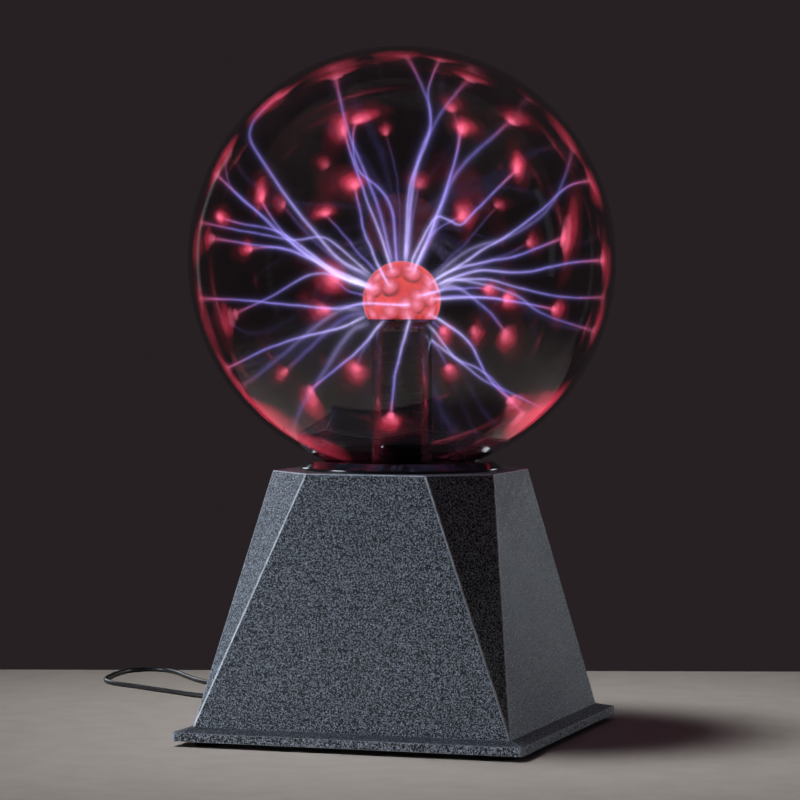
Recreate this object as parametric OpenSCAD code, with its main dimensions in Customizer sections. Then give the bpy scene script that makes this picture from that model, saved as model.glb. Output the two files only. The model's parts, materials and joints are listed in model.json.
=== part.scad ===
// Plasma ball: a glass globe on a faceted base, with its driver board,
// rear controls, supply lead and wall adapter. Millimetres, +Z up, front
// towards -Y, origin on the table under the globe's axis.

/* [Globe] */
// Outer diameter of the glass globe
globe_d = 200; // [160:1:260]
// Wall of the globe's glass
globe_wall = 2; // [1.5:0.1:3]
// Outer diameter of the globe's neck
neck_d = 56; // [46:1:60]
// How far the neck reaches below the base's top face
neck_drop = 23.5; // [20:0.5:32]

/* [Electrode] */
// Outer diameter of the glass bulb at the top of the stem
bulb_d = 35.5; // [30:0.5:44]
// How far the bulb's centre lies below the globe's centre
bulb_drop = 18.4; // [5:0.1:30]
// Outer diameter of the stem tube
stem_d = 28.5; // [24.5:0.5:30]
// Wall of the stem tube and bulb
stem_wall = 1.3; // [1:0.1:1.6]
// Thickness of the conductive lining inside the bulb
lining_t = 0.6; // [0.3:0.1:1.2]
// How far below the bulb's centre the lining ends
lining_drop = 9; // [5:0.5:10]
// Outer diameter of the ribbed sleeve's ridges
sleeve_d = 20.4; // [16:0.2:21]
// Distance from one ridge to the next
ridge_pitch = 4.3; // [3:0.1:6]
// Height of a ridge above the sleeve's valleys
ridge_h = 0.9; // [0.5:0.1:1.2]

/* [Base] */
// Width of the base shell at its foot
foot_w = 150; // [140:1:190]
// Width of the base shell across its top flats
top_w = 107; // [104:1:120]
// Height of the base shell
shell_h = 115.2; // [95:0.1:150]
// Leg of the corner cut at the top of the shell
corner_cut = 25; // [15:0.5:30]
// Wall of the base shell
shell_wall = 2.5; // [2:0.1:3.5]
// How far the bottom plate's flange stands out past the shell
flange_out = 7.5; // [4:0.5:15]
// Height of the flange's upright edge
flange_edge = 4; // [3:0.1:8]
// Rise of the flange from its edge to the shell's foot
flange_rise = 1.8; // [1:0.1:4]
// Thickness of the bottom plate's floor
floor_t = 2.5; // [2:0.1:3.8]

/* [Feet and screws] */
// Height of a rubber foot below the plate
foot_h = 2.5; // [1.5:0.1:6]
// Diameter of a rubber foot
foot_d = 12; // [8:0.5:16]
// Diameter of the base screws' shanks
screw_d = 3; // [2.5:0.1:3.5]

/* [Collar] */
// Diameter of the collar ring at its foot
collar_foot_d = 94; // [90:1:102]
// Diameter of the collar ring at its top
collar_top_d = 88; // [80:1:90]
// Height of the collar ring
collar_h = 4.2; // [3:0.1:8]
// Diameter of the circle on which the globe sits in the collar
seat_d = 71; // [68:1:76]

/* [Rear controls] */
// Width of the control recess
recess_w = 64; // [60:1:80]
// Height of the control recess
recess_h = 26; // [25:0.5:34]
// Least depth of the control recess
recess_depth = 3.5; // [3:0.1:6]
// Barrel diameter of the supply plug
barrel_d = 5.5; // [5:0.1:6]
// Width of the rocker
rocker_w = 11; // [9:0.5:13]
// Angle between two stops of the rocker
rocker_tilt = 12; // [8:1:14]

/* [Driver board] */
// Length of the circuit board
board_l = 96; // [92:1:110]
// Width of the circuit board
board_w = 76; // [74:1:90]

/* [Lead and adapter] */
// Diameter of the supply lead
lead_d = 2.4; // [2:0.1:2.8]
// Length of the wall adapter
adapter_l = 60; // [54:1:80]
// Width of the wall adapter
adapter_w = 36; // [34:1:50]
// Height of the wall adapter
adapter_h = 28; // [24:1:36]

/* [Hidden] */
$fn = 96;

// Clearances
fit = 0.05;       // between a peg or spigot and its hole
running = 0.05;   // between the rocker's pins and their holes
gap = 0.25;       // between the rocker and what surrounds it
solder = 0.05;    // between a wire's end and the terminal it is soldered to
eps = 0.01;

// Heights
plate_z = foot_h;
plate_top = plate_z + floor_t;
shell_z = plate_z + flange_edge + flange_rise;
top_z = shell_z + shell_h;
globe_r = globe_d / 2;
neck_r = neck_d / 2;
neck_z = top_z - neck_drop;
globe_z = top_z + collar_h + sqrt(globe_r * globe_r - seat_d * seat_d / 4);
bulb_r = bulb_d / 2;
bulb_z = globe_z - bulb_drop;
stem_r = stem_d / 2;

// Globe mounting inside the base
seat_gap = 0.1;        // between the globe and the collar's seat
seal_t = 1;            // silicone round the neck
cradle_wall = 2.2;
cradle_bore_r = neck_r + seal_t;
cradle_r = cradle_bore_r + cradle_wall;
cradle_floor = 2;
cradle_flange_t = 3;
cradle_flange_r = cradle_r + 16;
cradle_floor_z = neck_z - seal_t - cradle_floor;
cradle_flange_z = top_z - shell_wall - 12;
opening_r = cradle_r + 1.5;      // hole in the base's top
spigot_r = opening_r - fit;
spigot_bore_r = cradle_r + 0.3;
hanger_r = 4;                    // bosses under the base's top
hanger_ring_r = cradle_r + 10;
hanger_count = 3;

// Sleeve and high-voltage lead
sleeve_r = sleeve_d / 2;
sleeve_bore_r = sleeve_r - ridge_h - 1.4;
sleeve_z = cradle_floor_z + cradle_floor;
sleeve_top = bulb_z - lining_drop - 5;
ridge_count = floor((sleeve_top - sleeve_z) / ridge_pitch) - 1;
cap_t = 2;
hv_d = 3.2;
hv_bend_r = 12;

// Base plate
half_foot = foot_w / 2;
half_top = top_w / 2;
flange_w = foot_w + 2 * flange_out;
flange_corner_r = 1.5;
lip_h = 3;
lip_t = 1.8;
lip_out = half_foot - shell_wall - lip_h * (half_foot - half_top) / shell_h - 0.2;
screw_at = half_foot - 15;
boss_r = 4;
boss_h = 42;
pad_r = 6;
head_r = 3;
head_h = 2;
screw_l = 14;
foot_at = flange_w / 2 - 12.5;
foot_pin_r = 2;

// Driver board
board_t = 1.6;
standoff_h = 6;
board_y = -8;
board_z = plate_top + standoff_h;
board_top = board_z + board_t;
board_hole_x = board_l / 2 - 4;
board_hole_y = board_w / 2 - 4;
small_screw_d = 2.5;

// High-voltage transformer: a ring core with a winding on each leg
core_x = -20;
core_y = -8;
core_w = 38;
core_h = 36;
core_leg = 8;
core_z = board_top + 2.5;
leg_dx = (core_w - core_leg) / 2;
bobbin_t = 1.2;
bobbin_h = core_h - 2 * core_leg - 0.6;
bobbin_z = core_z + core_leg + 0.3;
primary_r = 8.4;
secondary_r = 12.5;
flange_gap = 0.3;

// Control recess in the rear face
slope = (half_foot - half_top) / shell_h;
recess_z = shell_z + lip_h + shell_wall + 1.2;
recess_top = recess_z + recess_h;
panel_y = rear_y(recess_top) - recess_depth;
control_z = recess_z + recess_h / 2;

// Supply jack and plug
jack_x = -20;
jack_r = 5.5;
jack_flange_r = 6.8;
jack_flange_t = 2;
jack_l = 14;
jack_bore_r = barrel_d / 2 + 0.1;
jack_bore_l = 9.5;
jack_pin_r = 1;
barrel_bore_r = 1.25;
barrel_l = 9;
grip_r = 4.6;
grip_l = 20;
grip_y = panel_y + jack_flange_t + 0.3;
relief_l = 16;
relief_y = grip_y + grip_l;
lead_y = relief_y + relief_l;
lead_r = lead_d / 2;

// Rocker switch
rocker_x = 18;
rocker_r = 9;
bezel_t = 2;
bezel_rim = 1.75;
bezel_w = rocker_w + 2 * gap + 2 * bezel_rim;
bezel_h = 2 * (rocker_r + gap + bezel_rim);
pivot_y = panel_y - 2.5;
rocker_pin_r = 1.2;
rocker_pin_l = 0.9;
body_wall = 1.4;
body_w = rocker_w + 2 * gap + 2 * body_wall;
body_h = 2 * (rocker_r + gap + 0.6);
cavity_d = 5.6;
body_floor = 1.6;
body_y = pivot_y - cavity_d - body_floor;

// Microphone behind the panel
mic_x = -1;
mic_r = 4.8;
mic_l = 5;
mic_hole_r = 1;

// Heat sink: a back plate with fins, standing on the board
sink_x = 30;
sink_y = -26;
sink_w = 26;
sink_h = 30;
sink_t = 2.5;
sink_fins = 5;
fin_l = 10;

// Wire sockets along the board's rear edge
conn_y = board_y + board_w / 2 - 4.5;
conn_h = 7;
conn_x = [jack_x, mic_x, rocker_x];
conn_ways = [2, 2, 3];
way = 2.5;
socket_z = board_top + conn_h;

// Route of the lead from the plug to the coil, laid on the table
route = [
    [jack_x, lead_y, control_z],
    [jack_x, lead_y + 3, control_z],
    [jack_x, lead_y + 7, control_z - 0.5],
    [-22, 122, 22],
    [-30, 136, 12],
    [-44, 146, 4.5],
    [-60, 149, 1.2],
    [-80, 147, 1.2],
    [-100, 142, 1.2],
    [-120, 139, 1.2],
    [-140, 143, 1.2],
    [-160, 157, 1.2],
    [-178, 178, 1.2],
    [-193, 197, 1.2],
    [-206, 204, 1.2],
    [-216, 198, 1.2],
    [-219, 184, 1.2],
    [-217, 165, 1.2],
    [-212, 147, 1.2],
    [-202, 135, 1.2],
    [-187, 126, 1.2],
    [-162, 111, 1.2],
    [-136, 96, 1.2],
    [-115, 90, 1.2],
    [-90, 91, 1.2],
    [-60, 96, 1.2],
    [-30, 100, 1.2],
    [0, 103, 1.2],
    [12, 103.5, 1.2],
    [24, 103.2, 1.2]
];
// Round coil of the lead's spare length
coil_x = 24;
coil_y = 122;
coil_mid_r = 14;
coil_columns = 5;
coil_layers = 2;
coil_in_r = coil_mid_r - coil_columns * lead_r;
coil_out_r = coil_mid_r + coil_columns * lead_r;
coil_h = coil_layers * lead_d;
// Route from the coil to the adapter
tail = [
    [24, 140.8, 3.6],
    [16, 142.5, 2.8],
    [9, 148, 1.3],
    [8, 155, 1.2],
    [12, 162, 1.6],
    [20, 168, 4.5],
    [23, 175, 9.5],
    [17, 180, 13],
    [10, 180, 14],
    [4, 180, 14]
];
lead_sides = 8;
lead_steps = 2;

// Wall adapter, lying on its back with its pins upwards
adapter_x = -42;
adapter_y = 180;
adapter_split = adapter_h / 2;
adapter_edge = 3;
adapter_relief_l = 16;
adapter_relief_x = adapter_x + adapter_l / 2;
pin_r = 2;
pin_spacing = 19;
pin_l = 19;
pin_root = 5;          // thinner end of a pin, inside the housing
pin_root_r = 1.6;
pin_x = adapter_x - adapter_l / 2 + 16;
spigot_h = 1.5;

// Rear face of the shell at height z
function rear_y(z) = half_foot - slope * (z - shell_z);

// Corners of the shell's outline: at its foot when t is 0, at its top when t is 1.
// inset moves every wall inwards.
function outline(t, inset) =
    let (h = half_foot + t * (half_top - half_foot) - inset,
         c = max(t * corner_cut - (2 - sqrt(2)) * inset, 0.01))
    [[-h + c, -h], [h - c, -h], [h, -h + c], [h, h - c],
     [h - c, h], [-h + c, h], [-h, h - c], [-h, -h + c]];

// Smooth curve through route points: steps places between one point and the next
function spline(p, steps) = concat(
    [for (i = [0 : len(p) - 2], k = [0 : steps - 1])
        let (t = k / steps,
             a = p[max(i - 1, 0)], b = p[i], c = p[i + 1],
             d = p[min(i + 2, len(p) - 1)])
        0.5 * (2 * b + (c - a) * t + (2 * a - 5 * b + 4 * c - d) * t * t
               + (3 * b - a - 3 * c + d) * t * t * t)],
    [p[len(p) - 1]]);
function unit(v) = v / norm(v);
function along(p, i) = unit(p[min(i + 1, len(p) - 1)] - p[max(i - 1, 0)]);
// A direction square to d that turns little from ring to ring
function side_of(d) = unit(cross(abs(d.z) > 0.9 ? [0, 1, 0] : [0, 0, 1], d));

// Round bar swept along the points
module sweep(points, r, sides = 8) {
    n = len(points);
    rings = [for (i = [0 : n - 1])
        let (d = along(points, i), u = side_of(d), v = cross(d, u))
        for (k = [0 : sides - 1])
            points[i] + r * (cos(360 * k / sides) * u + sin(360 * k / sides) * v)];
    walls = [for (i = [0 : n - 2], k = [0 : sides - 1])
        let (a = i * sides + k, b = i * sides + (k + 1) % sides)
        each [[a, a + sides, b + sides], [a, b + sides, b]]];
    ends = [[for (k = [0 : sides - 1]) k],
            [for (k = [sides - 1 : -1 : 0]) (n - 1) * sides + k]];
    polyhedron(rings, concat(walls, ends), convexity = 10);
}

// Wire through a few points
module wire(points, d) {
    sweep(spline(points, 3), d / 2);
}

// Square with round corners
module round_square(w, h, r) {
    square([w - 2 * r, h], center = true);
    square([w, h - 2 * r], center = true);
    for (x = [-1, 1], y = [-1, 1])
        translate([x * (w / 2 - r), y * (h / 2 - r)]) circle(r);
}

// The four places at plus and minus x and y
module four(x, y) {
    for (i = [-1, 1], j = [-1, 1]) translate([i * x, j * y, 0]) children();
}

// Bar with round section lying along +Y
module y_rod(r, l) {
    rotate([-90, 0, 0]) cylinder(h = l, r = r);
}

// Solid of the faceted base, moved in by inset, from z0 to z1
module facets(inset, t0, t1) {
    hull() {
        translate([0, 0, shell_z + t0 * shell_h])
            linear_extrude(eps) polygon(outline(t0, inset));
        translate([0, 0, shell_z + t1 * shell_h - eps])
            linear_extrude(eps) polygon(outline(t1, inset));
    }
}

// ---- Globe and electrode ----

module globe_glass() {
    color("#2b3038", 0.35)
    difference() {
        union() {
            translate([0, 0, globe_z]) sphere(globe_r);
            translate([0, 0, neck_z]) cylinder(h = globe_z - neck_z - globe_r / 2, r = neck_r);
        }
        translate([0, 0, globe_z]) sphere(globe_r - globe_wall);
        translate([0, 0, neck_z - 1])
            cylinder(h = globe_z - neck_z - globe_r / 2 + 2, r = neck_r - globe_wall);
    }
}

module glass_stem() {
    neck_in = neck_r - globe_wall;
    color("#59606c", 0.5)
    difference() {
        union() {
            translate([0, 0, bulb_z]) sphere(bulb_r);
            translate([0, 0, neck_z]) cylinder(h = bulb_z - neck_z, r = stem_r);
            translate([0, 0, neck_z]) cylinder(h = globe_wall, r = neck_in);
            translate([0, 0, neck_z + globe_wall - eps])
                cylinder(h = 3, r1 = stem_r + 3, r2 = stem_r);
        }
        translate([0, 0, bulb_z]) sphere(bulb_r - stem_wall);
        translate([0, 0, neck_z - 1]) cylinder(h = bulb_z - neck_z + 1, r = stem_r - stem_wall);
    }
}

module electrode_lining() {
    lining_r = bulb_r - stem_wall;
    color("#d8583c")
    translate([0, 0, bulb_z])
    difference() {
        sphere(lining_r);
        sphere(lining_r - lining_t);
        translate([0, 0, -lining_drop - lining_r]) cube(2 * lining_r, center = true);
    }
}

module contact_cap() {
    color("goldenrod")
    translate([0, 0, sleeve_top]) {
        cylinder(h = cap_t, r = sleeve_r - ridge_h);
        translate([0, 0, cap_t - eps]) cylinder(h = 3, r = 3);
    }
}

module contact_spring() {
    turns = 4;
    z0 = sleeve_top + cap_t + 0.5;
    z1 = bulb_z + bulb_r - stem_wall - lining_t - 0.5;
    steps = 12 * turns;
    color("silver")
    sweep([for (i = [0 : steps])
        let (t = i / steps, r = 4.6 - 2.6 * t)
        [r * cos(360 * turns * t), r * sin(360 * turns * t), z0 + (z1 - z0) * t]], 0.5, 6);
}

// Corrugated insulating sleeve round the high-voltage lead
module ribbed_sleeve() {
    ridges = [for (i = [0 : ridge_count - 1])
        let (z = sleeve_z + (i + 1) * ridge_pitch)
        each [[sleeve_r - ridge_h, z], [sleeve_r, z + ridge_pitch * 0.2],
              [sleeve_r, z + ridge_pitch * 0.45], [sleeve_r - ridge_h, z + ridge_pitch * 0.65]]];
    color("#141416")
    rotate_extrude()
        polygon(concat([[sleeve_bore_r, sleeve_z], [sleeve_r - ridge_h, sleeve_z]], ridges,
                       [[sleeve_r - ridge_h, sleeve_top], [sleeve_bore_r, sleeve_top]]));
}

// Insulated lead from the transformer's secondary up to the contact cap
module high_voltage_lead() {
    x = core_x + leg_dx;
    z = core_z + core_h + 8;
    color("#a02020")
    wire([[x, core_y + core_leg / 2 + 4, bobbin_z + bobbin_h + 1.4],
          [x, core_y + core_leg / 2 + 4.5, bobbin_z + bobbin_h + 8],
          [x, core_y + core_leg / 2 + 3, z],
          [x / 2, core_y / 2 + 3, z + 8],
          [0, 0, z + 20],
          [0, 0, cradle_floor_z],
          [0, 0, (cradle_floor_z + sleeve_top) / 2],
          [0, 0, sleeve_top]], hv_d);
}

// ---- Globe mounting ----

module neck_seal() {
    color("#9a9a94")
    translate([0, 0, neck_z - seal_t])
    difference() {
        cylinder(h = top_z - shell_wall - neck_z + seal_t, r = cradle_bore_r);
        translate([0, 0, seal_t]) cylinder(h = neck_drop + 1, r = neck_r);
        translate([0, 0, -1]) cylinder(h = seal_t + 2, r = stem_r);
    }
}

module hangers() {
    for (i = [0 : hanger_count - 1])
        rotate(90 + 360 * i / hanger_count) translate([hanger_ring_r, 0, 0]) children();
}

module globe_cradle() {
    color("#1c1c20")
    difference() {
        union() {
            translate([0, 0, cradle_floor_z])
                cylinder(h = top_z - shell_wall - cradle_floor_z, r = cradle_r);
            translate([0, 0, cradle_flange_z])
                cylinder(h = cradle_flange_t, r = cradle_flange_r);
        }
        translate([0, 0, cradle_floor_z + cradle_floor])
            cylinder(h = neck_drop + seal_t + 1, r = cradle_bore_r);
        translate([0, 0, cradle_floor_z - 1])
            cylinder(h = cradle_floor + 2, r = hv_d / 2 + 1);
        hangers()
            translate([0, 0, cradle_flange_z - 1])
                cylinder(h = cradle_flange_t + 2, r = screw_d / 2 + 0.2);
    }
}

module cradle_screws() {
    color("silver")
    hangers() {
        translate([0, 0, cradle_flange_z - head_h]) cylinder(h = head_h, r = head_r);
        translate([0, 0, cradle_flange_z - eps]) cylinder(h = 9, r = screw_d / 2);
    }
}

module collar_ring() {
    edge = 0.8;
    foot_r = collar_foot_d / 2;
    top_r = collar_top_d / 2;
    color("#0c0c0e")
    translate([0, 0, top_z])
    difference() {
        rotate_extrude() {
            polygon([[spigot_bore_r, 0], [foot_r, 0], [foot_r, 0.6],
                     [top_r + edge * 0.6, collar_h - edge], [top_r - edge, collar_h],
                     [spigot_bore_r, collar_h]]);
            translate([spigot_bore_r, -shell_wall])
                square([spigot_r - spigot_bore_r, shell_wall + 1]);
            translate([top_r - edge * 0.35, collar_h - edge * 0.9]) circle(edge * 0.9);
        }
        translate([0, 0, globe_z - top_z]) sphere(globe_r + seat_gap);
        translate([0, 0, -shell_wall - 1]) cylinder(h = shell_wall + 3, r = spigot_bore_r - eps);
    }
}

// ---- Base ----

module control_pocket(grow) {
    translate([-recess_w / 2 - grow, panel_y - grow, recess_z - grow])
        cube([recess_w + 2 * grow, half_foot, recess_h + 2 * grow]);
}

module base_shell() {
    t_wall = 1 - shell_wall / shell_h;
    color("#23262e")
    difference() {
        union() {
            difference() {
                facets(0, 0, 1);
                facets(shell_wall, 0, t_wall);
                translate([0, 0, shell_z - 1]) linear_extrude(1 + eps)
                    square(foot_w - 2 * shell_wall, center = true);
            }
            intersection() {
                facets(0.4, 0, 1);
                union() {
                    four(screw_at, screw_at)
                        translate([0, 0, shell_z]) cylinder(h = boss_h, r = boss_r);
                    control_pocket(shell_wall);
                }
            }
            hangers()
                translate([0, 0, cradle_flange_z + cradle_flange_t])
                    cylinder(h = top_z - shell_wall / 2 - cradle_flange_z - cradle_flange_t,
                             r = hanger_r);
        }
        control_pocket(0);
        four(screw_at, screw_at)
            translate([0, 0, shell_z - 1]) cylinder(h = screw_l + 2, r = screw_d / 2 + fit);
        hangers()
            translate([0, 0, cradle_flange_z]) cylinder(h = 10, r = screw_d / 2 + fit);
        translate([0, 0, top_z - shell_wall - 1]) cylinder(h = shell_wall + 2, r = opening_r);
        translate([jack_x, panel_y - shell_wall - 1, control_z])
            y_rod(jack_r + fit, shell_wall + 2);
        translate([mic_x, panel_y - shell_wall - 1, control_z])
            y_rod(mic_hole_r, shell_wall + 2);
        translate([rocker_x, panel_y - shell_wall / 2, control_z])
            cube([body_w + 2 * fit, shell_wall + 2, body_h + 2 * fit], center = true);
    }
}

module base_plate() {
    inner = 2 * (lip_out - lip_t);
    vents = 5;
    color("#1e2127")
    difference() {
        union() {
            translate([0, 0, plate_z]) linear_extrude(flange_edge)
                round_square(flange_w, flange_w, flange_corner_r);
            hull() {
                translate([0, 0, plate_z + flange_edge - eps]) linear_extrude(eps)
                    round_square(flange_w, flange_w, flange_corner_r, $fn = 32);
                translate([0, 0, shell_z - eps]) linear_extrude(eps)
                    square(foot_w, center = true);
            }
            translate([0, 0, shell_z - eps]) linear_extrude(lip_h)
                square(2 * lip_out, center = true);
        }
        difference() {
            translate([0, 0, plate_top]) linear_extrude(shell_z + lip_h - plate_top + 1)
                square(inner, center = true);
            four(screw_at, screw_at)
                translate([0, 0, plate_top - 1]) cylinder(h = shell_z - plate_top + 1, r = pad_r);
            four(board_hole_x, board_hole_y)
                translate([0, board_y, plate_top - 1]) cylinder(h = standoff_h + 1, r = 3.2);
        }
        four(screw_at, screw_at) {
            translate([0, 0, plate_z - 1]) cylinder(h = 20, r = screw_d / 2 + 0.2);
            translate([0, 0, plate_z - 1]) cylinder(h = head_h + 1.2, r = head_r + 0.3);
            // The lip makes room for the shell's bosses
            translate([0, 0, shell_z]) cylinder(h = lip_h + 1, r = boss_r + 0.3);
        }
        four(foot_at, foot_at)
            translate([0, 0, plate_z - 1]) cylinder(h = flange_edge, r = foot_pin_r + fit);
        four(board_hole_x, board_hole_y)
            translate([0, board_y, plate_top]) cylinder(h = standoff_h + 1, r = small_screw_d / 2 + fit);
        for (i = [0 : vents - 1], y = [-1, 1])
            translate([0, y * 30 + (i - (vents - 1) / 2) * 7, plate_z + floor_t / 2])
                cube([26, 2.4, floor_t + 2], center = true);
    }
}

module base_screws() {
    z = plate_z + head_h + 0.2 - head_h;
    color("silver")
    four(screw_at, screw_at)
        translate([0, 0, z])
            difference() {
                union() {
                    cylinder(h = head_h, r = head_r);
                    cylinder(h = screw_l + head_h, r = screw_d / 2);
                }
                for (a = [0, 90]) rotate(a)
                    translate([0, 0, 0.5]) cube([3.4, 0.8, 1.2], center = true);
            }
}

module rubber_feet() {
    color("#17171a")
    four(foot_at, foot_at) {
        cylinder(h = foot_h * 0.4, r1 = foot_d / 2 - 0.7, r2 = foot_d / 2);
        translate([0, 0, foot_h * 0.4 - eps]) cylinder(h = foot_h * 0.6 + eps, r = foot_d / 2);
        translate([0, 0, foot_h - eps]) cylinder(h = 2.6, r = foot_pin_r);
    }
}

// ---- Driver board ----

module circuit_board() {
    color("#1f6b3a")
    difference() {
        translate([-board_l / 2, board_y - board_w / 2, board_z])
            cube([board_l, board_w, board_t]);
        four(board_hole_x, board_hole_y)
            translate([0, board_y, board_z - 1])
                cylinder(h = board_t + 2, r = small_screw_d / 2 + 0.1);
    }
}

module board_screws() {
    color("silver")
    four(board_hole_x, board_hole_y) {
        translate([0, board_y, board_top]) cylinder(h = 1.6, r = 2.4);
        translate([0, board_y, board_top - 6]) cylinder(h = 6.1, r = small_screw_d / 2);
    }
}

module transformer_core() {
    color("#3a3a3e")
    translate([core_x, core_y, core_z])
    difference() {
        translate([-core_w / 2, -core_leg / 2, 0]) cube([core_w, core_leg, core_h]);
        translate([-core_w / 2 + core_leg, -core_leg, core_leg])
            cube([core_w - 2 * core_leg, 2 * core_leg, core_h - 2 * core_leg]);
    }
}

// Flanged former on one leg of the core, with a winding radius of r
module bobbin(r) {
    translate([0, 0, bobbin_z])
    difference() {
        union() {
            cylinder(h = bobbin_h, r = core_leg / 2 * sqrt(2) + bobbin_t);
            for (z = [0, bobbin_h - bobbin_t])
                translate([0, 0, z]) cylinder(h = bobbin_t, r = r);
        }
        translate([-core_leg / 2 - fit, -core_leg / 2 - fit, -1])
            cube([core_leg + 2 * fit, core_leg + 2 * fit, bobbin_h + 2]);
    }
}

// Winding between a bobbin's flanges
module winding(r) {
    translate([0, 0, bobbin_z + bobbin_t + flange_gap / 2])
    difference() {
        cylinder(h = bobbin_h - 2 * bobbin_t - flange_gap, r = r - 0.4);
        translate([0, 0, -1])
            cylinder(h = bobbin_h, r = core_leg / 2 * sqrt(2) + bobbin_t + fit);
    }
}

module winding_bobbins() {
    color("#101012")
    translate([core_x, core_y, 0]) {
        translate([-leg_dx, 0, 0]) bobbin(primary_r);
        translate([leg_dx, 0, 0]) bobbin(secondary_r);
        // Saddles that hold the core off the board
        for (x = [-1, 1])
            translate([x * (leg_dx + 2), 0, (board_top + core_z) / 2])
                cube([8, core_leg + 6, core_z - board_top], center = true);
    }
}

module primary_winding() {
    color("#b5652a")
    translate([core_x - leg_dx, core_y, 0]) winding(primary_r);
}

module secondary_winding() {
    color("#1a1a1c")
    translate([core_x + leg_dx, core_y, 0]) winding(secondary_r);
}

module heat_sink() {
    color("#8d9096")
    translate([sink_x - sink_w / 2, sink_y, board_top]) {
        cube([sink_w, sink_t, sink_h]);
        for (i = [0 : sink_fins - 1])
            translate([i * (sink_w - 1.5) / (sink_fins - 1), -fin_l, 0])
                cube([1.5, fin_l + eps, sink_h]);
    }
}

module power_transistor() {
    y = sink_y + sink_t;
    color("#18181a")
    translate([sink_x - 5, y, board_top + 6]) {
        difference() {
            cube([10, 1.3, 15.5]);
            translate([5, -1, 12.8]) y_rod(1.8, 4);
        }
        translate([0, 1.3 - eps, 0]) cube([10, 3.1, 9]);
        for (x = [2.46, 5, 7.54])
            translate([x - 0.4, 2, -6]) cube([0.8, 0.5, 6.1]);
    }
}

module smoothing_capacitors() {
    color("#22324e")
    for (c = [[8, -36, 5, 16], [38, 2, 5, 16], [38, 16, 4, 11]])
        translate([c[0], c[1], board_top]) {
            cylinder(h = c[3] - 1, r = c[2]);
            translate([0, 0, c[3] - 1 - eps]) cylinder(h = 1, r = c[2] - 0.6);
        }
}

module resistors() {
    color("#c8a878")
    for (i = [0 : 4])
        translate([14, -14 + 6 * i, board_top + 1.5]) {
            y = 0;
            rotate([0, 90, 0]) translate([0, y, -3]) cylinder(h = 6, r = 1.2);
            for (s = [-1, 1]) {
                rotate([0, 90 * s, 0]) translate([0, y, 3 - eps]) cylinder(h = 2, r = 0.3);
                translate([s * 5, y, -1.5]) cylinder(h = 1.8, r = 0.3);
            }
        }
}

module driver_chip() {
    color("#151517")
    translate([26, 10, board_top]) {
        translate([-3.2, -5, 0.6]) cube([6.4, 10, 3.2]);
        for (s = [-1, 1], i = [0 : 3])
            translate([s * 3.8 - 0.25, -3.81 + i * 2.54 - 0.4, 0]) cube([0.5, 0.8, 2.4]);
        for (s = [-1, 1], i = [0 : 3])
            translate([s * 3.5 - 0.5, -3.81 + i * 2.54 - 0.4, 2]) cube([1, 0.8, 0.4]);
    }
}

module board_connectors() {
    color("ivory")
    for (i = [0 : 2])
        translate([conn_x[i] - (conn_ways[i] * way + 2) / 2, conn_y - 3, board_top])
            cube([conn_ways[i] * way + 2, 6, conn_h]);
}

// ---- Rear controls ----

module microphone() {
    color("#b8bcc2")
    translate([mic_x, panel_y - shell_wall - mic_l, control_z]) {
        y_rod(mic_r, mic_l);
        translate([0, -1, 0]) y_rod(mic_r - 0.6, 1 + eps);
    }
}

module jack_body() {
    color("#161618")
    translate([jack_x, panel_y, control_z])
    difference() {
        union() {
            translate([0, -jack_l, 0]) y_rod(jack_r, jack_l + eps);
            y_rod(jack_flange_r, jack_flange_t);
        }
        translate([0, jack_flange_t - jack_bore_l - 0.5, 0])
            y_rod(jack_bore_r, jack_bore_l + 2);
        translate([0, -jack_l - 1, 0]) y_rod(jack_pin_r + fit, jack_l);
    }
}

module jack_pin() {
    color("silver")
    translate([jack_x, panel_y, control_z]) {
        translate([0, -jack_l - 3, 0]) y_rod(jack_pin_r, jack_l + 3);
        translate([0, -eps, 0]) rotate([-90, 0, 0])
            cylinder(h = 0.8, r1 = jack_pin_r, r2 = jack_pin_r - 0.6);
    }
}

module jack_nut() {
    y = panel_y - shell_wall - 2.2;
    color("silver")
    translate([jack_x, y, control_z])
    difference() {
        rotate([-90, 0, 0]) cylinder(h = 2.2, r = 8.2, $fn = 6);
        translate([0, -1, 0]) y_rod(jack_r + fit, 4.2);
    }
}

module switch_housing() {
    y_front = panel_y + bezel_t;
    color("#131315")
    translate([rocker_x, 0, control_z])
    difference() {
        union() {
            translate([-bezel_w / 2, panel_y, -bezel_h / 2])
                cube([bezel_w, bezel_t, bezel_h]);
            translate([-body_w / 2, body_y, -body_h / 2])
                cube([body_w, panel_y - body_y + eps, body_h]);
        }
        // Room for the rocker's sweep
        translate([-rocker_w / 2 - gap, pivot_y, 0])
            rotate([0, 90, 0]) cylinder(h = rocker_w + 2 * gap, r = rocker_r + gap);
        translate([-rocker_w / 2 - gap, pivot_y, -rocker_r - gap])
            cube([rocker_w + 2 * gap, y_front - pivot_y + 1, 2 * (rocker_r + gap)]);
        // Anything of the round room behind the cavity's floor stays solid
        translate([-rocker_w / 2 - gap - 1, pivot_y, 0])
            rotate([0, 90, 0]) cylinder(h = rocker_w + 2 * gap + 2, r = rocker_pin_r + running);
    }
}

module switch_terminals() {
    color("silver")
    for (z = [-6, 0, 6])
        translate([rocker_x - 2.4, body_y - 6.5, control_z + z - 0.4])
            difference() {
                cube([4.8, 6.5, 0.8]);
                translate([2.4, 2, -1]) cylinder(h = 3, r = 0.8);
            }
}

// Rocker profile about its pivot, with its top face bent at the middle
module rocker_profile() {
    dish = 4.0;
    intersection() {
        circle(rocker_r);
        polygon([[-1.5, -rocker_r - 1], [5.0, -rocker_r - 1], [dish, 0],
                 [5.0, rocker_r + 1], [-1.5, rocker_r + 1]]);
    }
}

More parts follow.
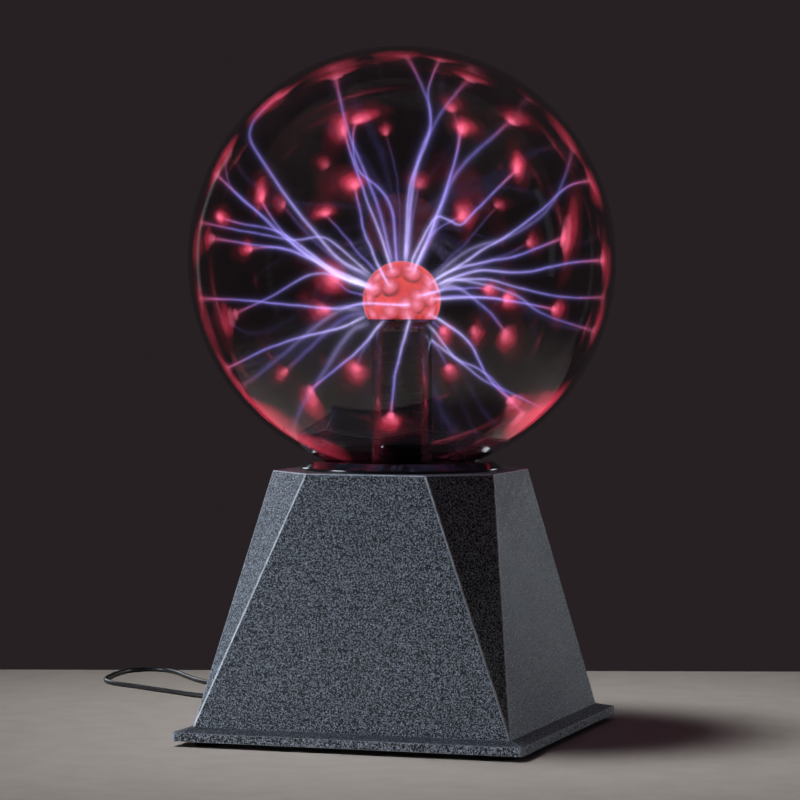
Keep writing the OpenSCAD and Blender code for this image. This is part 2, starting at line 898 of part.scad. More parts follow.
module rocker() {
    color("#1b1b1e")
    translate([rocker_x, pivot_y, control_z])
    rotate([rocker_tilt, 0, 0]) {
        rotate([90, 0, 90])
            linear_extrude(rocker_w, center = true) rocker_profile();
        rotate([0, 90, 0])
            cylinder(h = rocker_w + 2 * rocker_pin_l, r = rocker_pin_r, center = true);
    }
}

// ---- Wires inside the base ----

module jack_wires() {
    back_y = panel_y - jack_l - solder;
    for (s = [-1, 1])
        color(s > 0 ? "#b02020" : "#202022")
        wire([[jack_x + s * 3, back_y, control_z], [jack_x + s * 3, back_y - 2, control_z],
              [jack_x + s * 3, back_y - 5, control_z + 1],
              [jack_x + s * 2, back_y - 12, control_z],
              [jack_x + s * way / 2, conn_y + 2, socket_z + 7],
              [jack_x + s * way / 2, conn_y, socket_z + 4],
              [jack_x + s * way / 2, conn_y, socket_z + 2],
              [jack_x + s * way / 2, conn_y, socket_z]], 1.4);
}

module switch_wires() {
    back_y = body_y - 6.5 - solder;
    for (i = [-1 : 1])
        color(["#d8d8d8", "#b02020", "#2040a0"][i + 1])
        wire([[rocker_x + i * 1.4, back_y, control_z + 6 * i],
              [rocker_x + i * 1.4, back_y - 2, control_z + 6 * i],
              [rocker_x + i * way, back_y - 9, control_z + 4 * i],
              [rocker_x + i * way, conn_y + 2, socket_z + 8 + 3 * i],
              [rocker_x + i * way, conn_y, socket_z + 5],
              [rocker_x + i * way, conn_y, socket_z + 2.5],
              [rocker_x + i * way, conn_y, socket_z]], 1.4);
}

module microphone_wires() {
    back_y = panel_y - shell_wall - mic_l - 1 - solder;
    for (s = [-1, 1])
        color(s > 0 ? "#b02020" : "#202022")
        wire([[mic_x + s * way / 2, back_y, control_z],
              [mic_x + s * way / 2, back_y - 2, control_z],
              [mic_x + s * way / 2, back_y - 16, control_z],
              [mic_x + s * way / 2, conn_y + 2, socket_z + 7],
              [mic_x + s * way / 2, conn_y, socket_z + 4],
              [mic_x + s * way / 2, conn_y, socket_z + 2],
              [mic_x + s * way / 2, conn_y, socket_z]], 1.1);
}

// ---- Plug, lead and adapter ----

module plug_barrel() {
    color("silver")
    translate([jack_x, grip_y - barrel_l - 0.3, control_z])
    difference() {
        y_rod(barrel_d / 2, barrel_l + 4.3);
        translate([0, -1, 0]) y_rod(barrel_bore_r, barrel_l + 1);
    }
}

module plug_grip() {
    grooves = 5;
    color("#18181a")
    translate([jack_x, grip_y, control_z])
    difference() {
        union() {
            y_rod(grip_r, grip_l - 3);
            translate([0, grip_l - 3, 0]) rotate([-90, 0, 0])
                cylinder(h = 3, r1 = grip_r, r2 = grip_r - 1.4);
        }
        translate([0, -1, 0]) y_rod(barrel_d / 2 + fit, 5.05);
        for (i = [0 : grooves - 1])
            translate([0, 5 + 2.4 * i, 0]) rotate([-90, 0, 0])
                rotate_extrude() translate([grip_r + 0.5, 0]) circle(0.9, $fn = 32);
    }
}

module plug_relief() {
    rings = 4;
    color("#18181a")
    translate([jack_x, relief_y, control_z]) {
        rotate([-90, 0, 0]) cylinder(h = relief_l, r1 = grip_r - 1.6, r2 = lead_r + 0.35);
        for (i = [0 : rings - 1])
            translate([0, 2 + 3.4 * i, 0]) y_rod(grip_r - 1.2 - 0.45 * i, 1.6);
    }
}

module power_lead() {
    color("#121214") sweep(spline(route, lead_steps), lead_r, lead_sides);
}

module lead_coil() {
    color("#121214")
    translate([coil_x, coil_y, 0])
    difference() {
        cylinder(h = coil_h, r = coil_out_r);
        translate([0, 0, -1]) cylinder(h = coil_h + 2, r = coil_in_r);
    }
}

module coil_tie() {
    w = coil_out_r - coil_in_r;
    color("#202024")
    translate([coil_x + coil_mid_r, coil_y, 0])
    difference() {
        translate([-w / 2 - 1.1, -1.8, 0]) cube([w + 1.9, 3.6, coil_h + 0.8]);
        translate([-w / 2 - 0.3, -3, -1]) cube([w + 0.32, 6, coil_h + 1.02]);
    }
}

module lead_tail() {
    color("#121214") sweep(spline(tail, lead_steps), lead_r, lead_sides);
}

module adapter_relief() {
    rings = 4;
    z = adapter_split;
    color("#18181a")
    translate([adapter_relief_x, adapter_y, z]) {
        rotate([0, 90, 0]) cylinder(h = adapter_relief_l, r1 = 3.4, r2 = lead_r + 0.35);
        for (i = [0 : rings - 1])
            translate([1.5 + 3.4 * i, 0, 0]) rotate([0, 90, 0])
                cylinder(h = 1.6, r = 3.7 - 0.45 * i);
    }
}

// Half of the adapter's housing: upright walls with a bevelled end face
module adapter_half(h) {
    hull() {
        linear_extrude(h - adapter_edge) round_square(adapter_l, adapter_w, 4, $fn = 32);
        linear_extrude(h)
            round_square(adapter_l - 2 * adapter_edge, adapter_w - 2 * adapter_edge, 3, $fn = 32);
    }
}

module adapter_case() {
    color("#151518")
    translate([adapter_x, adapter_y, adapter_split])
        mirror([0, 0, 1]) difference() {
            adapter_half(adapter_split);
            translate([0, 0, -1]) linear_extrude(adapter_split - 2 + 1)
                round_square(adapter_l - 5, adapter_w - 5, 2);
        }
}

module adapter_cover() {
    color("#151518")
    difference() {
        translate([adapter_x, adapter_y, adapter_split]) adapter_half(adapter_h - adapter_split);
        translate([adapter_x, adapter_y, adapter_split - 1])
            linear_extrude(adapter_h - adapter_split - 2 + 1)
                round_square(adapter_l - 5, adapter_w - 5, 2);
        for (y = [-1, 1])
            translate([pin_x, adapter_y + y * pin_spacing / 2, adapter_h - 3])
                cylinder(h = 4, r = pin_root_r + fit);
    }
}

module adapter_pins() {
    color("silver")
    for (y = [-1, 1])
        translate([pin_x, adapter_y + y * pin_spacing / 2, adapter_h - pin_root]) {
            cylinder(h = pin_root + eps, r = pin_root_r);
            translate([0, 0, pin_root]) cylinder(h = pin_l - 1, r = pin_r);
            translate([0, 0, pin_root + pin_l - 1 - eps]) cylinder(h = 1, r1 = pin_r, r2 = pin_r - 0.9);
        }
}

globe_glass();
glass_stem();
electrode_lining();
contact_spring();
contact_cap();
ribbed_sleeve();
high_voltage_lead();
neck_seal();
globe_cradle();
cradle_screws();
collar_ring();
base_shell();
base_plate();
base_screws();
rubber_feet();
circuit_board();
board_screws();
transformer_core();
winding_bobbins();
primary_winding();
secondary_winding();
power_transistor();
heat_sink();
smoothing_capacitors();
resistors();
driver_chip();
board_connectors();
microphone();
jack_body();
jack_pin();
jack_nut();
switch_housing();
switch_terminals();
rocker();
jack_wires();
switch_wires();
microphone_wires();
plug_barrel();
plug_grip();
plug_relief();
power_lead();
lead_coil();
coil_tie();
lead_tail();
adapter_relief();
adapter_case();
adapter_cover();
adapter_pins();
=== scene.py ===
"""Looks of a plasma ball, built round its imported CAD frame.

The lamp stands on the origin, +Z up, with its front face towards -Y and its
controls on the rear face. All sizes are in metres.
"""

import json
import logging
import math
from dataclasses import dataclass, field
from enum import Enum
from typing import Callable, Iterable, Sequence

import bmesh
import bpy
from mathutils import Matrix, Vector, noise


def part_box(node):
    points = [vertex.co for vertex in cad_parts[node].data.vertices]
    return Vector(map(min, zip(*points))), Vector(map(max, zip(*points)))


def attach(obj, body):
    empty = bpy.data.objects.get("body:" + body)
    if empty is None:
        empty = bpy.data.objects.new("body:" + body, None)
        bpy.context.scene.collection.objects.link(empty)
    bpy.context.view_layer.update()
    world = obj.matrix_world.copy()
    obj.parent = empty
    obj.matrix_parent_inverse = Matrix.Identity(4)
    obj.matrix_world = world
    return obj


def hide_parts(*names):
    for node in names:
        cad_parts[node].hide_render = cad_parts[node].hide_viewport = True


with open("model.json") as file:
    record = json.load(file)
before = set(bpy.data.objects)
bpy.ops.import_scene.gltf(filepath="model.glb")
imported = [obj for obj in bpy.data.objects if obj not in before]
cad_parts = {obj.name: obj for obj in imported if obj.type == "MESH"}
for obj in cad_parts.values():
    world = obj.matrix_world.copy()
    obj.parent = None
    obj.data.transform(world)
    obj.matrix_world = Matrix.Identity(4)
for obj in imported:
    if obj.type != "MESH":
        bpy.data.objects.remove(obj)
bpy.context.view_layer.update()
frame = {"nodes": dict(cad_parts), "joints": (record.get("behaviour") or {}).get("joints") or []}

LOG = logging.getLogger("plasma_ball")
MM = 0.001
TURN = 2 * math.pi
DENSE_STEPS = 24
BASE = "base"
ROCKER = "rocker"
TINT = "tint"
EDGE = "edge"

Colour = tuple[float, float, float]
Tint = tuple[float, float, float, float]
Pair = tuple[float, float]
Point = tuple[float, float, float]
Socket = bpy.types.NodeSocket
Piece = bpy.types.Object
Mesh = bmesh.types.BMesh
Edge = bmesh.types.BMEdge


def clamped(value: float) -> float:
    """A value kept between 0 and 1."""
    return min(max(value, 0.0), 1.0)


# ---------------------------------------------------------------- node trees


class Graph:
    """A node tree, with short ways to add and join its nodes."""

    def __init__(self, tree: bpy.types.NodeTree) -> None:
        """Wraps a tree.

        Args:
            tree: the node tree of a material, a world or a group.
        """
        self.tree = tree

    def add(self, kind: str, **settings: object) -> bpy.types.Node:
        """Adds a node.

        Args:
            kind: the node's type name.
            settings: properties of the node and their values.

        Returns:
            The new node.
        """
        node = self.tree.nodes.new(kind)
        for name, value in settings.items():
            setattr(node, name, value)
        return node

    def feed(self, target: Socket, source: object) -> None:
        """Joins a socket to another, or sets its value.

        Args:
            target: the input socket.
            source: an output socket, a number or a colour.
        """
        if isinstance(source, bpy.types.NodeSocket):
            self.tree.links.new(source, target)
        elif isinstance(source, tuple) and len(source) == 3 and target.type == "RGBA":
            target.default_value = (*source, 1.0)
        else:
            target.default_value = source

    def maths(self, operation: str, first: object, second: object = 0.0, clamp: bool = False) -> Socket:
        """Adds a Math node.

        Args:
            operation: the name of the operation.
            first: first number or socket.
            second: second number or socket.
            clamp: whether the result stays between 0 and 1.

        Returns:
            The result's socket.
        """
        node = self.add("ShaderNodeMath", operation=operation, use_clamp=clamp)
        self.feed(node.inputs[0], first)
        self.feed(node.inputs[1], second)
        return node.outputs[0]

    def times(self, first: object, second: object) -> Socket:
        """The product of two numbers or sockets."""
        return self.maths("MULTIPLY", first, second)

    def mix(self, factor: object, first: object, second: object) -> Socket:
        """Mixes two colours.

        Args:
            factor: share of the second colour.
            first: first colour or socket.
            second: second colour or socket.

        Returns:
            The mixed colour's socket.
        """
        node = self.add("ShaderNodeMix", data_type="RGBA")
        self.feed(node.inputs[0], factor)
        self.feed(node.inputs[6], first)
        self.feed(node.inputs[7], second)
        return node.outputs[2]

    def spread(
        self, value: Socket, low: float, high: float, to_low: float = 0.0, to_high: float = 1.0,
    ) -> Socket:
        """Maps a range of values onto another, smoothly and clamped.

        Args:
            value: the value's socket.
            low: value that becomes to_low.
            high: value that becomes to_high.
            to_low: low end of the result.
            to_high: high end of the result.

        Returns:
            The result's socket.
        """
        node = self.add("ShaderNodeMapRange", interpolation_type="SMOOTHSTEP")
        for index, item in enumerate((value, low, high, to_low, to_high)):
            self.feed(node.inputs[index], item)
        return node.outputs[0]

    def places(self, stretch: Point = (1.0, 1.0, 1.0)) -> Socket:
        """Object coordinates, stretched along each axis.

        Args:
            stretch: factor along each axis.

        Returns:
            The coordinates' socket.
        """
        coordinates = self.add("ShaderNodeTexCoord").outputs["Object"]
        if stretch == (1.0, 1.0, 1.0):
            return coordinates
        mapping = self.add("ShaderNodeMapping")
        self.feed(mapping.inputs["Vector"], coordinates)
        mapping.inputs["Scale"].default_value = stretch
        return mapping.outputs[0]

    def noise(
        self, scale: object, detail: float = 2.0, distortion: float = 0.0, places: Socket | None = None,
    ) -> Socket:
        """Adds a noise texture on Object coordinates.

        Args:
            scale: grains per metre, a number or a socket.
            detail: number of octaves.
            distortion: how much the noise bends itself.
            places: coordinates to use in place of the plain ones.

        Returns:
            The socket of the noise's value.
        """
        node = self.add("ShaderNodeTexNoise")
        self.feed(node.inputs["Vector"], places or self.places())
        self.feed(node.inputs["Scale"], scale)
        node.inputs["Detail"].default_value = detail
        node.inputs["Distortion"].default_value = distortion
        return node.outputs[0]

    def attribute(self, name: str) -> bpy.types.Node:
        """Adds a node that reads a mesh attribute of that name."""
        return self.add("ShaderNodeAttribute", attribute_type="GEOMETRY", attribute_name=name)


class Effect(Enum):
    """Shader groups that several finishes share."""

    GRAIN = "moulding_grain"
    GLINT_FLECKS = "painted_glint_flecks"
    WEAR_AND_HIGHLIGHT = "edge_wear_and_highlight"
    DUST = "settled_dust"
    STREAKS = "drawn_streaks"


EFFECT_SOCKETS = {
    Effect.GRAIN: ({"Scale": 900.0}, ("Value", "Height")),
    Effect.GLINT_FLECKS: ({"Scale": 1200.0, "Cover": 0.5}, ("Mask", "Height")),
    Effect.WEAR_AND_HIGHLIGHT: ({"Amount": 0.5, "Scale": 400.0}, ("Mask",)),
    Effect.DUST: ({"Amount": 0.3, "Scale": 350.0}, ("Mask",)),
    Effect.STREAKS: ({"Scale": 60.0}, ("Value", "Height")),
}


class EffectGraph(Graph):
    """The tree of a shared group, with the group's inputs and outputs."""

    def __init__(self, kind: Effect) -> None:
        """Makes the group of an effect.

        Args:
            kind: which effect.
        """
        super().__init__(bpy.data.node_groups.new(kind.value, "ShaderNodeTree"))
        inputs, outputs = EFFECT_SOCKETS[kind]
        face = self.tree.interface
        for name, value in inputs.items():
            socket = face.new_socket(name, in_out="INPUT", socket_type="NodeSocketFloat")
            socket.default_value = value
        for name in outputs:
            face.new_socket(name, in_out="OUTPUT", socket_type="NodeSocketFloat")
        self.given = self.add("NodeGroupInput").outputs
        self.result = self.add("NodeGroupOutput").inputs
        builders = {
            Effect.GRAIN: self.grain,
            Effect.GLINT_FLECKS: self.glint_flecks,
            Effect.WEAR_AND_HIGHLIGHT: self.wear_and_highlight,
            Effect.DUST: self.dust,
            Effect.STREAKS: self.streaks,
        }
        builders[kind]()

    def grain(self) -> None:
        """Fine grain over broad, slow variation."""
        scale = self.given["Scale"]
        fine = self.noise(scale, detail=3.0)
        broad = self.noise(self.times(scale, 0.04), detail=2.0)
        both = self.maths("ADD", self.times(fine, 0.6), self.times(broad, 0.4))
        self.feed(self.result["Value"], self.spread(both, 0.3, 0.7))
        self.feed(self.result["Height"], fine)

    def glint_flecks(self) -> None:
        """Short bright squiggles on the crests of a spark-eroded grain, which paint in the grain's glints.
        """
        scale = self.given["Scale"]
        lumps = self.noise(scale, detail=1.5, distortion=0.5)
        crest = self.maths("ABSOLUTE", self.maths("SUBTRACT", lumps, 0.5))
        ridge = self.maths("SUBTRACT", 1.0, self.times(crest, 9.0), clamp=True)
        breaks = self.noise(self.times(scale, 0.7), detail=1.0)
        broken = self.times(ridge, self.spread(breaks, 0.36, 0.56))
        level = self.maths("SUBTRACT", 1.0, self.given["Cover"])
        rest = self.maths("SUBTRACT", broken, self.times(level, 0.5))
        self.feed(self.result["Mask"], self.maths("MULTIPLY", rest, 3.2, clamp=True))
        self.feed(self.result["Height"], self.maths("ADD", self.times(lumps, 0.6), broken))

    def wear_and_highlight(self) -> None:
        """Rubbed patches along the faces that the mesh marks as an edge, which also carry a painted edge
        highlight.
        """
        edge = self.attribute(EDGE).outputs["Fac"]
        patches = self.spread(self.noise(self.given["Scale"], detail=3.0), 0.35, 0.6)
        rubbed_and_highlit = self.maths("ADD", self.times(patches, 0.4), 0.6)
        self.feed(self.result["Mask"], self.times(self.times(edge, rubbed_and_highlit), self.given["Amount"]))

    def dust(self) -> None:
        """Dust that settles on faces that look up."""
        split = self.add("ShaderNodeSeparateXYZ")
        self.feed(split.inputs[0], self.add("ShaderNodeNewGeometry").outputs["Normal"])
        upward = self.spread(split.outputs["Z"], 0.2, 0.95)
        specks = self.spread(self.noise(self.given["Scale"], detail=4.0), 0.45, 0.7)
        self.feed(self.result["Mask"], self.times(self.times(upward, specks), self.given["Amount"]))

    def streaks(self) -> None:
        """Fine streaks that run along Z."""
        lines = self.noise(self.given["Scale"], detail=4.0, places=self.places((40.0, 40.0, 1.0)))
        self.feed(self.result["Value"], self.spread(lines, 0.3, 0.7))
        self.feed(self.result["Height"], lines)


class MaterialGraph(Graph):
    """The tree of a material, with its shader."""

    def __init__(self, tree: bpy.types.NodeTree) -> None:
        """Clears the tree and joins a Principled shader to its output.

        Args:
            tree: the material's tree.
        """
        super().__init__(tree)
        tree.nodes.clear()
        self.shader = self.add("ShaderNodeBsdfPrincipled")
        output = self.add("ShaderNodeOutputMaterial")
        self.feed(output.inputs["Surface"], self.shader.outputs[0])

    def shade(self, inputs: dict[str, object]) -> None:
        """Feeds the shader.

        Args:
            inputs: names of the shader's inputs, each with its socket, number or colour.
        """
        for name, source in inputs.items():
            self.feed(self.shader.inputs[name], source)

    def effect(self, kind: Effect, **values: float) -> bpy.types.NodeOutputs:
        """Places a shared group, which is made the first time it is asked for.

        Args:
            kind: which effect.
            values: the group's inputs.

        Returns:
            The group's output sockets.
        """
        group = bpy.data.node_groups.get(kind.value) or EffectGraph(kind).tree
        node = self.add("ShaderNodeGroup", node_tree=group)
        for name, value in values.items():
            node.inputs[name].default_value = value
        return node.outputs


# ------------------------------------------------------------------ finishes


@dataclass(frozen=True)
class Finish:
    """A finish: two near colours in a grain, wear and a painted highlight on the edges, and a little dust.
    """

    name: str
    dark: Colour
    light: Colour
    roughness: Pair = (0.35, 0.5)
    grain: float = 900.0
    relief: float = 0.00002
    metallic: float = 0.0
    specular: float = 0.5
    coat: float = 0.0
    coat_roughness: float = 0.08
    # Edge colour: dull wear on most finishes, a painted highlight where it is pale.
    wear_and_highlight: float = 0.0
    wear_and_highlight_colour: Colour = (0.3, 0.3, 0.32)
    dust: float = 0.0
    dust_colour: Colour = (0.35, 0.33, 0.3)
    dust_roughness: float = 0.4
    texture: Effect = Effect.GRAIN

    def material(self) -> bpy.types.Material:
        """The finish's material, made the first time it is asked for."""
        full_name = self.name + "_finish"
        made = bpy.data.materials.get(full_name)
        if made is None:
            made = bpy.data.materials.new(full_name)
            made.use_nodes = True
            made.diffuse_color = (*self.light, 1.0)
            self.dress(MaterialGraph(made.node_tree))
        return made

    def dress(self, graph: MaterialGraph) -> None:
        """Builds the finish's nodes.

        Args:
            graph: the material's tree.
        """
        texture = graph.effect(self.texture, Scale=self.grain)
        colour = graph.mix(texture["Value"], self.dark, self.light)
        self.finish_with(graph, colour, texture["Value"], texture["Height"])

    def finish_with(self, graph: MaterialGraph, colour: Socket, value: Socket, height: Socket) -> None:
        """Adds edge wear with a painted edge highlight, dust, roughness and relief to a colour.

        Args:
            graph: the material's tree.
            colour: the colour so far.
            value: 0 to 1, from smooth to rough.
            height: the relief.
        """
        # Wear and painted highlight: the marked edge faces take the edge colour.
        if self.wear_and_highlight:
            worn_and_highlit = graph.effect(Effect.WEAR_AND_HIGHLIGHT, Amount=self.wear_and_highlight)["Mask"]
            colour = graph.mix(worn_and_highlit, colour, self.wear_and_highlight_colour)
        rough = graph.spread(value, 0.0, 1.0, *self.roughness)
        if self.dust:
            dusty = graph.effect(Effect.DUST, Amount=self.dust)["Mask"]
            colour = graph.mix(dusty, colour, self.dust_colour)
            rough = graph.maths("ADD", rough, graph.times(dusty, self.dust_roughness), clamp=True)
        bump = graph.add("ShaderNodeBump")
        bump.inputs["Strength"].default_value = 1.0
        bump.inputs["Distance"].default_value = self.relief
        graph.feed(bump.inputs["Height"], height)
        graph.shade({
            "Base Color": colour, "Roughness": rough, "Metallic": self.metallic,
            "Specular IOR Level": self.specular, "Coat Weight": self.coat,
            "Coat Roughness": self.coat_roughness, "Normal": bump.outputs[0],
        })


@dataclass(frozen=True)
class GlintFleckedPlastic(Finish):
    """Black moulded plastic with a coarse texture, whose glints are painted in as pale flecks."""

    # Painted highlight: the pale, blue-tinted fleck colour stands in for glints on the grain.
    glint_fleck: Colour = (0.76, 0.85, 1.0)
    fleck_scale: float = 2000.0
    cover: float = 0.24

    def dress(self, graph: MaterialGraph) -> None:
        """Builds the finish's nodes.

        Args:
            graph: the material's tree.
        """
        grain = graph.effect(Effect.GRAIN, Scale=self.grain)
        glint_flecks = graph.effect(Effect.GLINT_FLECKS, Scale=self.fleck_scale, Cover=self.cover)
        ground = graph.mix(grain["Value"], self.dark, self.light)
        # Paints the glints into the base colour.
        colour = graph.mix(glint_flecks["Mask"], ground, self.glint_fleck)
        self.finish_with(graph, colour, grain["Value"], glint_flecks["Height"])


@dataclass(frozen=True)
class ClearGlass(Finish):
    """Glass that holds back a share of the light in each wall."""

    index: float = 1.45

    def dress(self, graph: MaterialGraph) -> None:
        """Builds the finish's nodes.

        Args:
            graph: the material's tree.
        """
        grain = graph.effect(Effect.GRAIN, Scale=self.grain)
        colour = graph.mix(grain["Value"], self.dark, self.light)
        graph.shade({"Base Color": colour, "Roughness": 0.0, "IOR": self.index, "Transmission Weight": 1.0})


@dataclass(frozen=True)
class Glow(Finish):
    """Glowing gas, whose colour and cover come from the mesh's tint."""

    strength: float = 1.0
    flicker: Pair = (1.0, 1.0)

    def dress(self, graph: MaterialGraph) -> None:
        """Builds the finish's nodes.

        Args:
            graph: the material's tree.
        """
        tint = graph.attribute(TINT).outputs
        wisps = graph.spread(graph.noise(self.grain, detail=2.0, distortion=0.8), 0.3, 0.7, *self.flicker)
        graph.shade({
            "Base Color": self.dark, "Roughness": 1.0, "Specular IOR Level": 0.0,
            "Emission Color": tint["Color"], "Emission Strength": self.strength,
            "Alpha": graph.maths("MULTIPLY", tint["Alpha"], wisps, clamp=True),
        })

    def material(self) -> bpy.types.Material:
        """The finish's material, which the renderer doesn't pick as a lamp."""
        made = super().material()
        made.cycles.emission_sampling = "NONE"
        return made


@dataclass(frozen=True)
class LitCoating(Glow):
    """The bulb's coating under the discharge, which is opaque and glows in its own tint."""

    def dress(self, graph: MaterialGraph) -> None:
        """Builds the finish's nodes.

        Args:
            graph: the material's tree.
        """
        grain = graph.spread(graph.noise(self.grain, detail=3.0), 0.3, 0.7, *self.flicker)
        lit = graph.mix(grain, self.dark, graph.attribute(TINT).outputs["Color"])
        graph.shade({
            "Emission Color": lit, "Base Color": lit, "Roughness": self.roughness[0],
            "Emission Strength": self.strength,
        })


# Its near-white, blue-tinted edge colour is a painted highlight along the creases, with a little wear.
GLINT_FLECKED = GlintFleckedPlastic(
    "textured_plastic", dark=(0.005, 0.0062, 0.0095), light=(0.013, 0.0155, 0.023), roughness=(0.4, 0.6),
    grain=500.0, relief=0.00012, wear_and_highlight=0.95, wear_and_highlight_colour=(0.88, 0.92, 1.0), dust=0.12,
)
# Its pale blue-grey edge colour is a painted highlight along the rim, with a little wear.
PLATE_PLASTIC = GlintFleckedPlastic(
    "textured_plate_plastic", dark=(0.007, 0.008, 0.01), light=(0.016, 0.018, 0.023), roughness=(0.35, 0.55),
    grain=500.0, relief=0.0001, wear_and_highlight=0.8, wear_and_highlight_colour=(0.5, 0.53, 0.62), dust=0.15,
)
BLACK_GLOSS = Finish(
    "black_gloss", dark=(0.006, 0.006, 0.007), light=(0.011, 0.011, 0.013), roughness=(0.1, 0.2),
    grain=260.0, relief=0.000004, coat=0.5, wear_and_highlight=0.25, dust=0.05,
)
BLACK_SATIN = Finish(
    "black_matte", dark=(0.008, 0.008, 0.009), light=(0.017, 0.017, 0.019), roughness=(0.32, 0.46),
    grain=1400.0, relief=0.00002, wear_and_highlight=0.3, wear_and_highlight_colour=(0.09, 0.09, 0.1), dust=0.08,
)
BLACK_RUBBER = Finish(
    "black_rubber", dark=(0.009, 0.009, 0.009), light=(0.02, 0.02, 0.021), roughness=(0.55, 0.75),
    grain=1100.0, relief=0.00003, wear_and_highlight=0.3, wear_and_highlight_colour=(0.06, 0.06, 0.06), dust=0.12,
)
SLEEVE_NYLON = Finish(
    "sleeve_nylon", dark=(0.008, 0.007, 0.011), light=(0.018, 0.015, 0.026), roughness=(0.25, 0.4),
    grain=700.0, relief=0.00001,
)
SHEATH = Finish(
    "lead_sheath", dark=(0.008, 0.008, 0.009), light=(0.016, 0.016, 0.018), roughness=(0.28, 0.42),
    grain=420.0, relief=0.00001, dust=0.1,
)
SILICONE = Finish(
    "silicone", dark=(0.42, 0.42, 0.39), light=(0.58, 0.58, 0.54), roughness=(0.35, 0.55), grain=300.0,
)
STEEL = Finish(
    "steel", dark=(0.46, 0.47, 0.49), light=(0.64, 0.65, 0.67), roughness=(0.22, 0.38), metallic=1.0,
    grain=700.0, relief=0.000004,
)
NICKEL = Finish(
    "nickel", dark=(0.6, 0.59, 0.55), light=(0.78, 0.77, 0.73), roughness=(0.12, 0.26), metallic=1.0,
    grain=500.0, relief=0.000003,
)
BRASS = Finish(
    "brass", dark=(0.58, 0.41, 0.16), light=(0.78, 0.6, 0.28), roughness=(0.2, 0.36), metallic=1.0,
    grain=500.0, relief=0.000004,
)
ALUMINIUM = Finish(
    "aluminium", dark=(0.5, 0.51, 0.53), light=(0.71, 0.72, 0.74), roughness=(0.28, 0.42), metallic=1.0,
    grain=55.0, relief=0.00001, texture=Effect.STREAKS,
)
FERRITE = Finish(
    "ferrite", dark=(0.035, 0.035, 0.038), light=(0.08, 0.08, 0.085), roughness=(0.6, 0.8), grain=1800.0,
    relief=0.00005,
)
COPPER_WIRE = Finish(
    "copper_wire", dark=(0.3, 0.1, 0.035), light=(0.66, 0.29, 0.12), roughness=(0.22, 0.4), metallic=0.6,
    grain=70.0, relief=0.00006, texture=Effect.STREAKS,
)
EPOXY = Finish(
    "epoxy", dark=(0.012, 0.012, 0.014), light=(0.03, 0.03, 0.034), roughness=(0.35, 0.55), grain=1200.0,
)
SOLDER_MASK = Finish(
    "board_green", dark=(0.012, 0.1, 0.04), light=(0.03, 0.2, 0.085), roughness=(0.2, 0.35), grain=240.0,
    coat=0.3, relief=0.00001,
)
CAPACITOR_SLEEVE = Finish(
    "capacitor_sleeve", dark=(0.018, 0.035, 0.1), light=(0.04, 0.07, 0.17), roughness=(0.2, 0.32),
    grain=300.0,
)
RESISTOR_LACQUER = Finish(
    "resistor_body", dark=(0.5, 0.37, 0.22), light=(0.72, 0.57, 0.38), roughness=(0.3, 0.45),
)
IVORY_NYLON = Finish(
    "ivory_nylon", dark=(0.66, 0.63, 0.5), light=(0.82, 0.79, 0.68), roughness=(0.35, 0.5), grain=600.0,
)
WIRE_RED = Finish(
    "wire_insulation", dark=(0.26, 0.025, 0.025), light=(0.42, 0.05, 0.05), roughness=(0.25, 0.4),
    grain=500.0,
)
GLOBE_GLASS = ClearGlass("globe_glass", dark=(0.56, 0.565, 0.57), light=(0.6, 0.6, 0.605), grain=20.0)
STEM_GLASS = ClearGlass("stem_glass", dark=(0.62, 0.62, 0.63), light=(0.68, 0.68, 0.69), grain=40.0)
BULB_COATING = LitCoating(
    "lit_lining", dark=(0.5, 0.02, 0.015), light=(0.9, 0.2, 0.15), grain=420.0, strength=1.35,
    flicker=(0.8, 1.0),
)
FILAMENT_GAS = Glow(
    "filament_gas", dark=(0.0, 0.0, 0.0), light=(0.5, 0.4, 1.0), grain=160.0, strength=6.0,
    flicker=(0.8, 1.1),
)
TUFT_GAS = Glow(
    "tuft_gas", dark=(0.0, 0.0, 0.0), light=(1.0, 0.1, 0.2), grain=140.0, strength=6.0, flicker=(0.75, 1.15),
)

FLOOR = Finish(
    "pale_floor", dark=(0.66, 0.63, 0.6), light=(0.74, 0.71, 0.68), roughness=(0.8, 0.95), grain=60.0,
    relief=0.00002, specular=0.15,
)

# ------------------------------------------------------------------- meshing


def arc(centre: Pair, radius: float, start: float, end: float, steps: int) -> list[Pair]:
    """Points along an arc in the plane of a profile.

    Args:
        centre: the arc's centre, as distance from the axis and height.
        radius: the arc's radius.
        start: first angle in degrees, 0 outwards and 90 upwards.
        end: last angle in degrees.
        steps: number of steps from start to end.

    Returns:
        The points, ends included.
    """
    angles = [math.radians(start + (end - start) * step / steps) for step in range(steps + 1)]
    return [(centre[0] + radius * math.cos(a), centre[1] + radius * math.sin(a)) for a in angles]


def neck_angle(neck: float, radius: float) -> float:
    """The angle in degrees at which a ball of that radius turns into its neck."""
    return -math.degrees(math.acos(neck / radius))


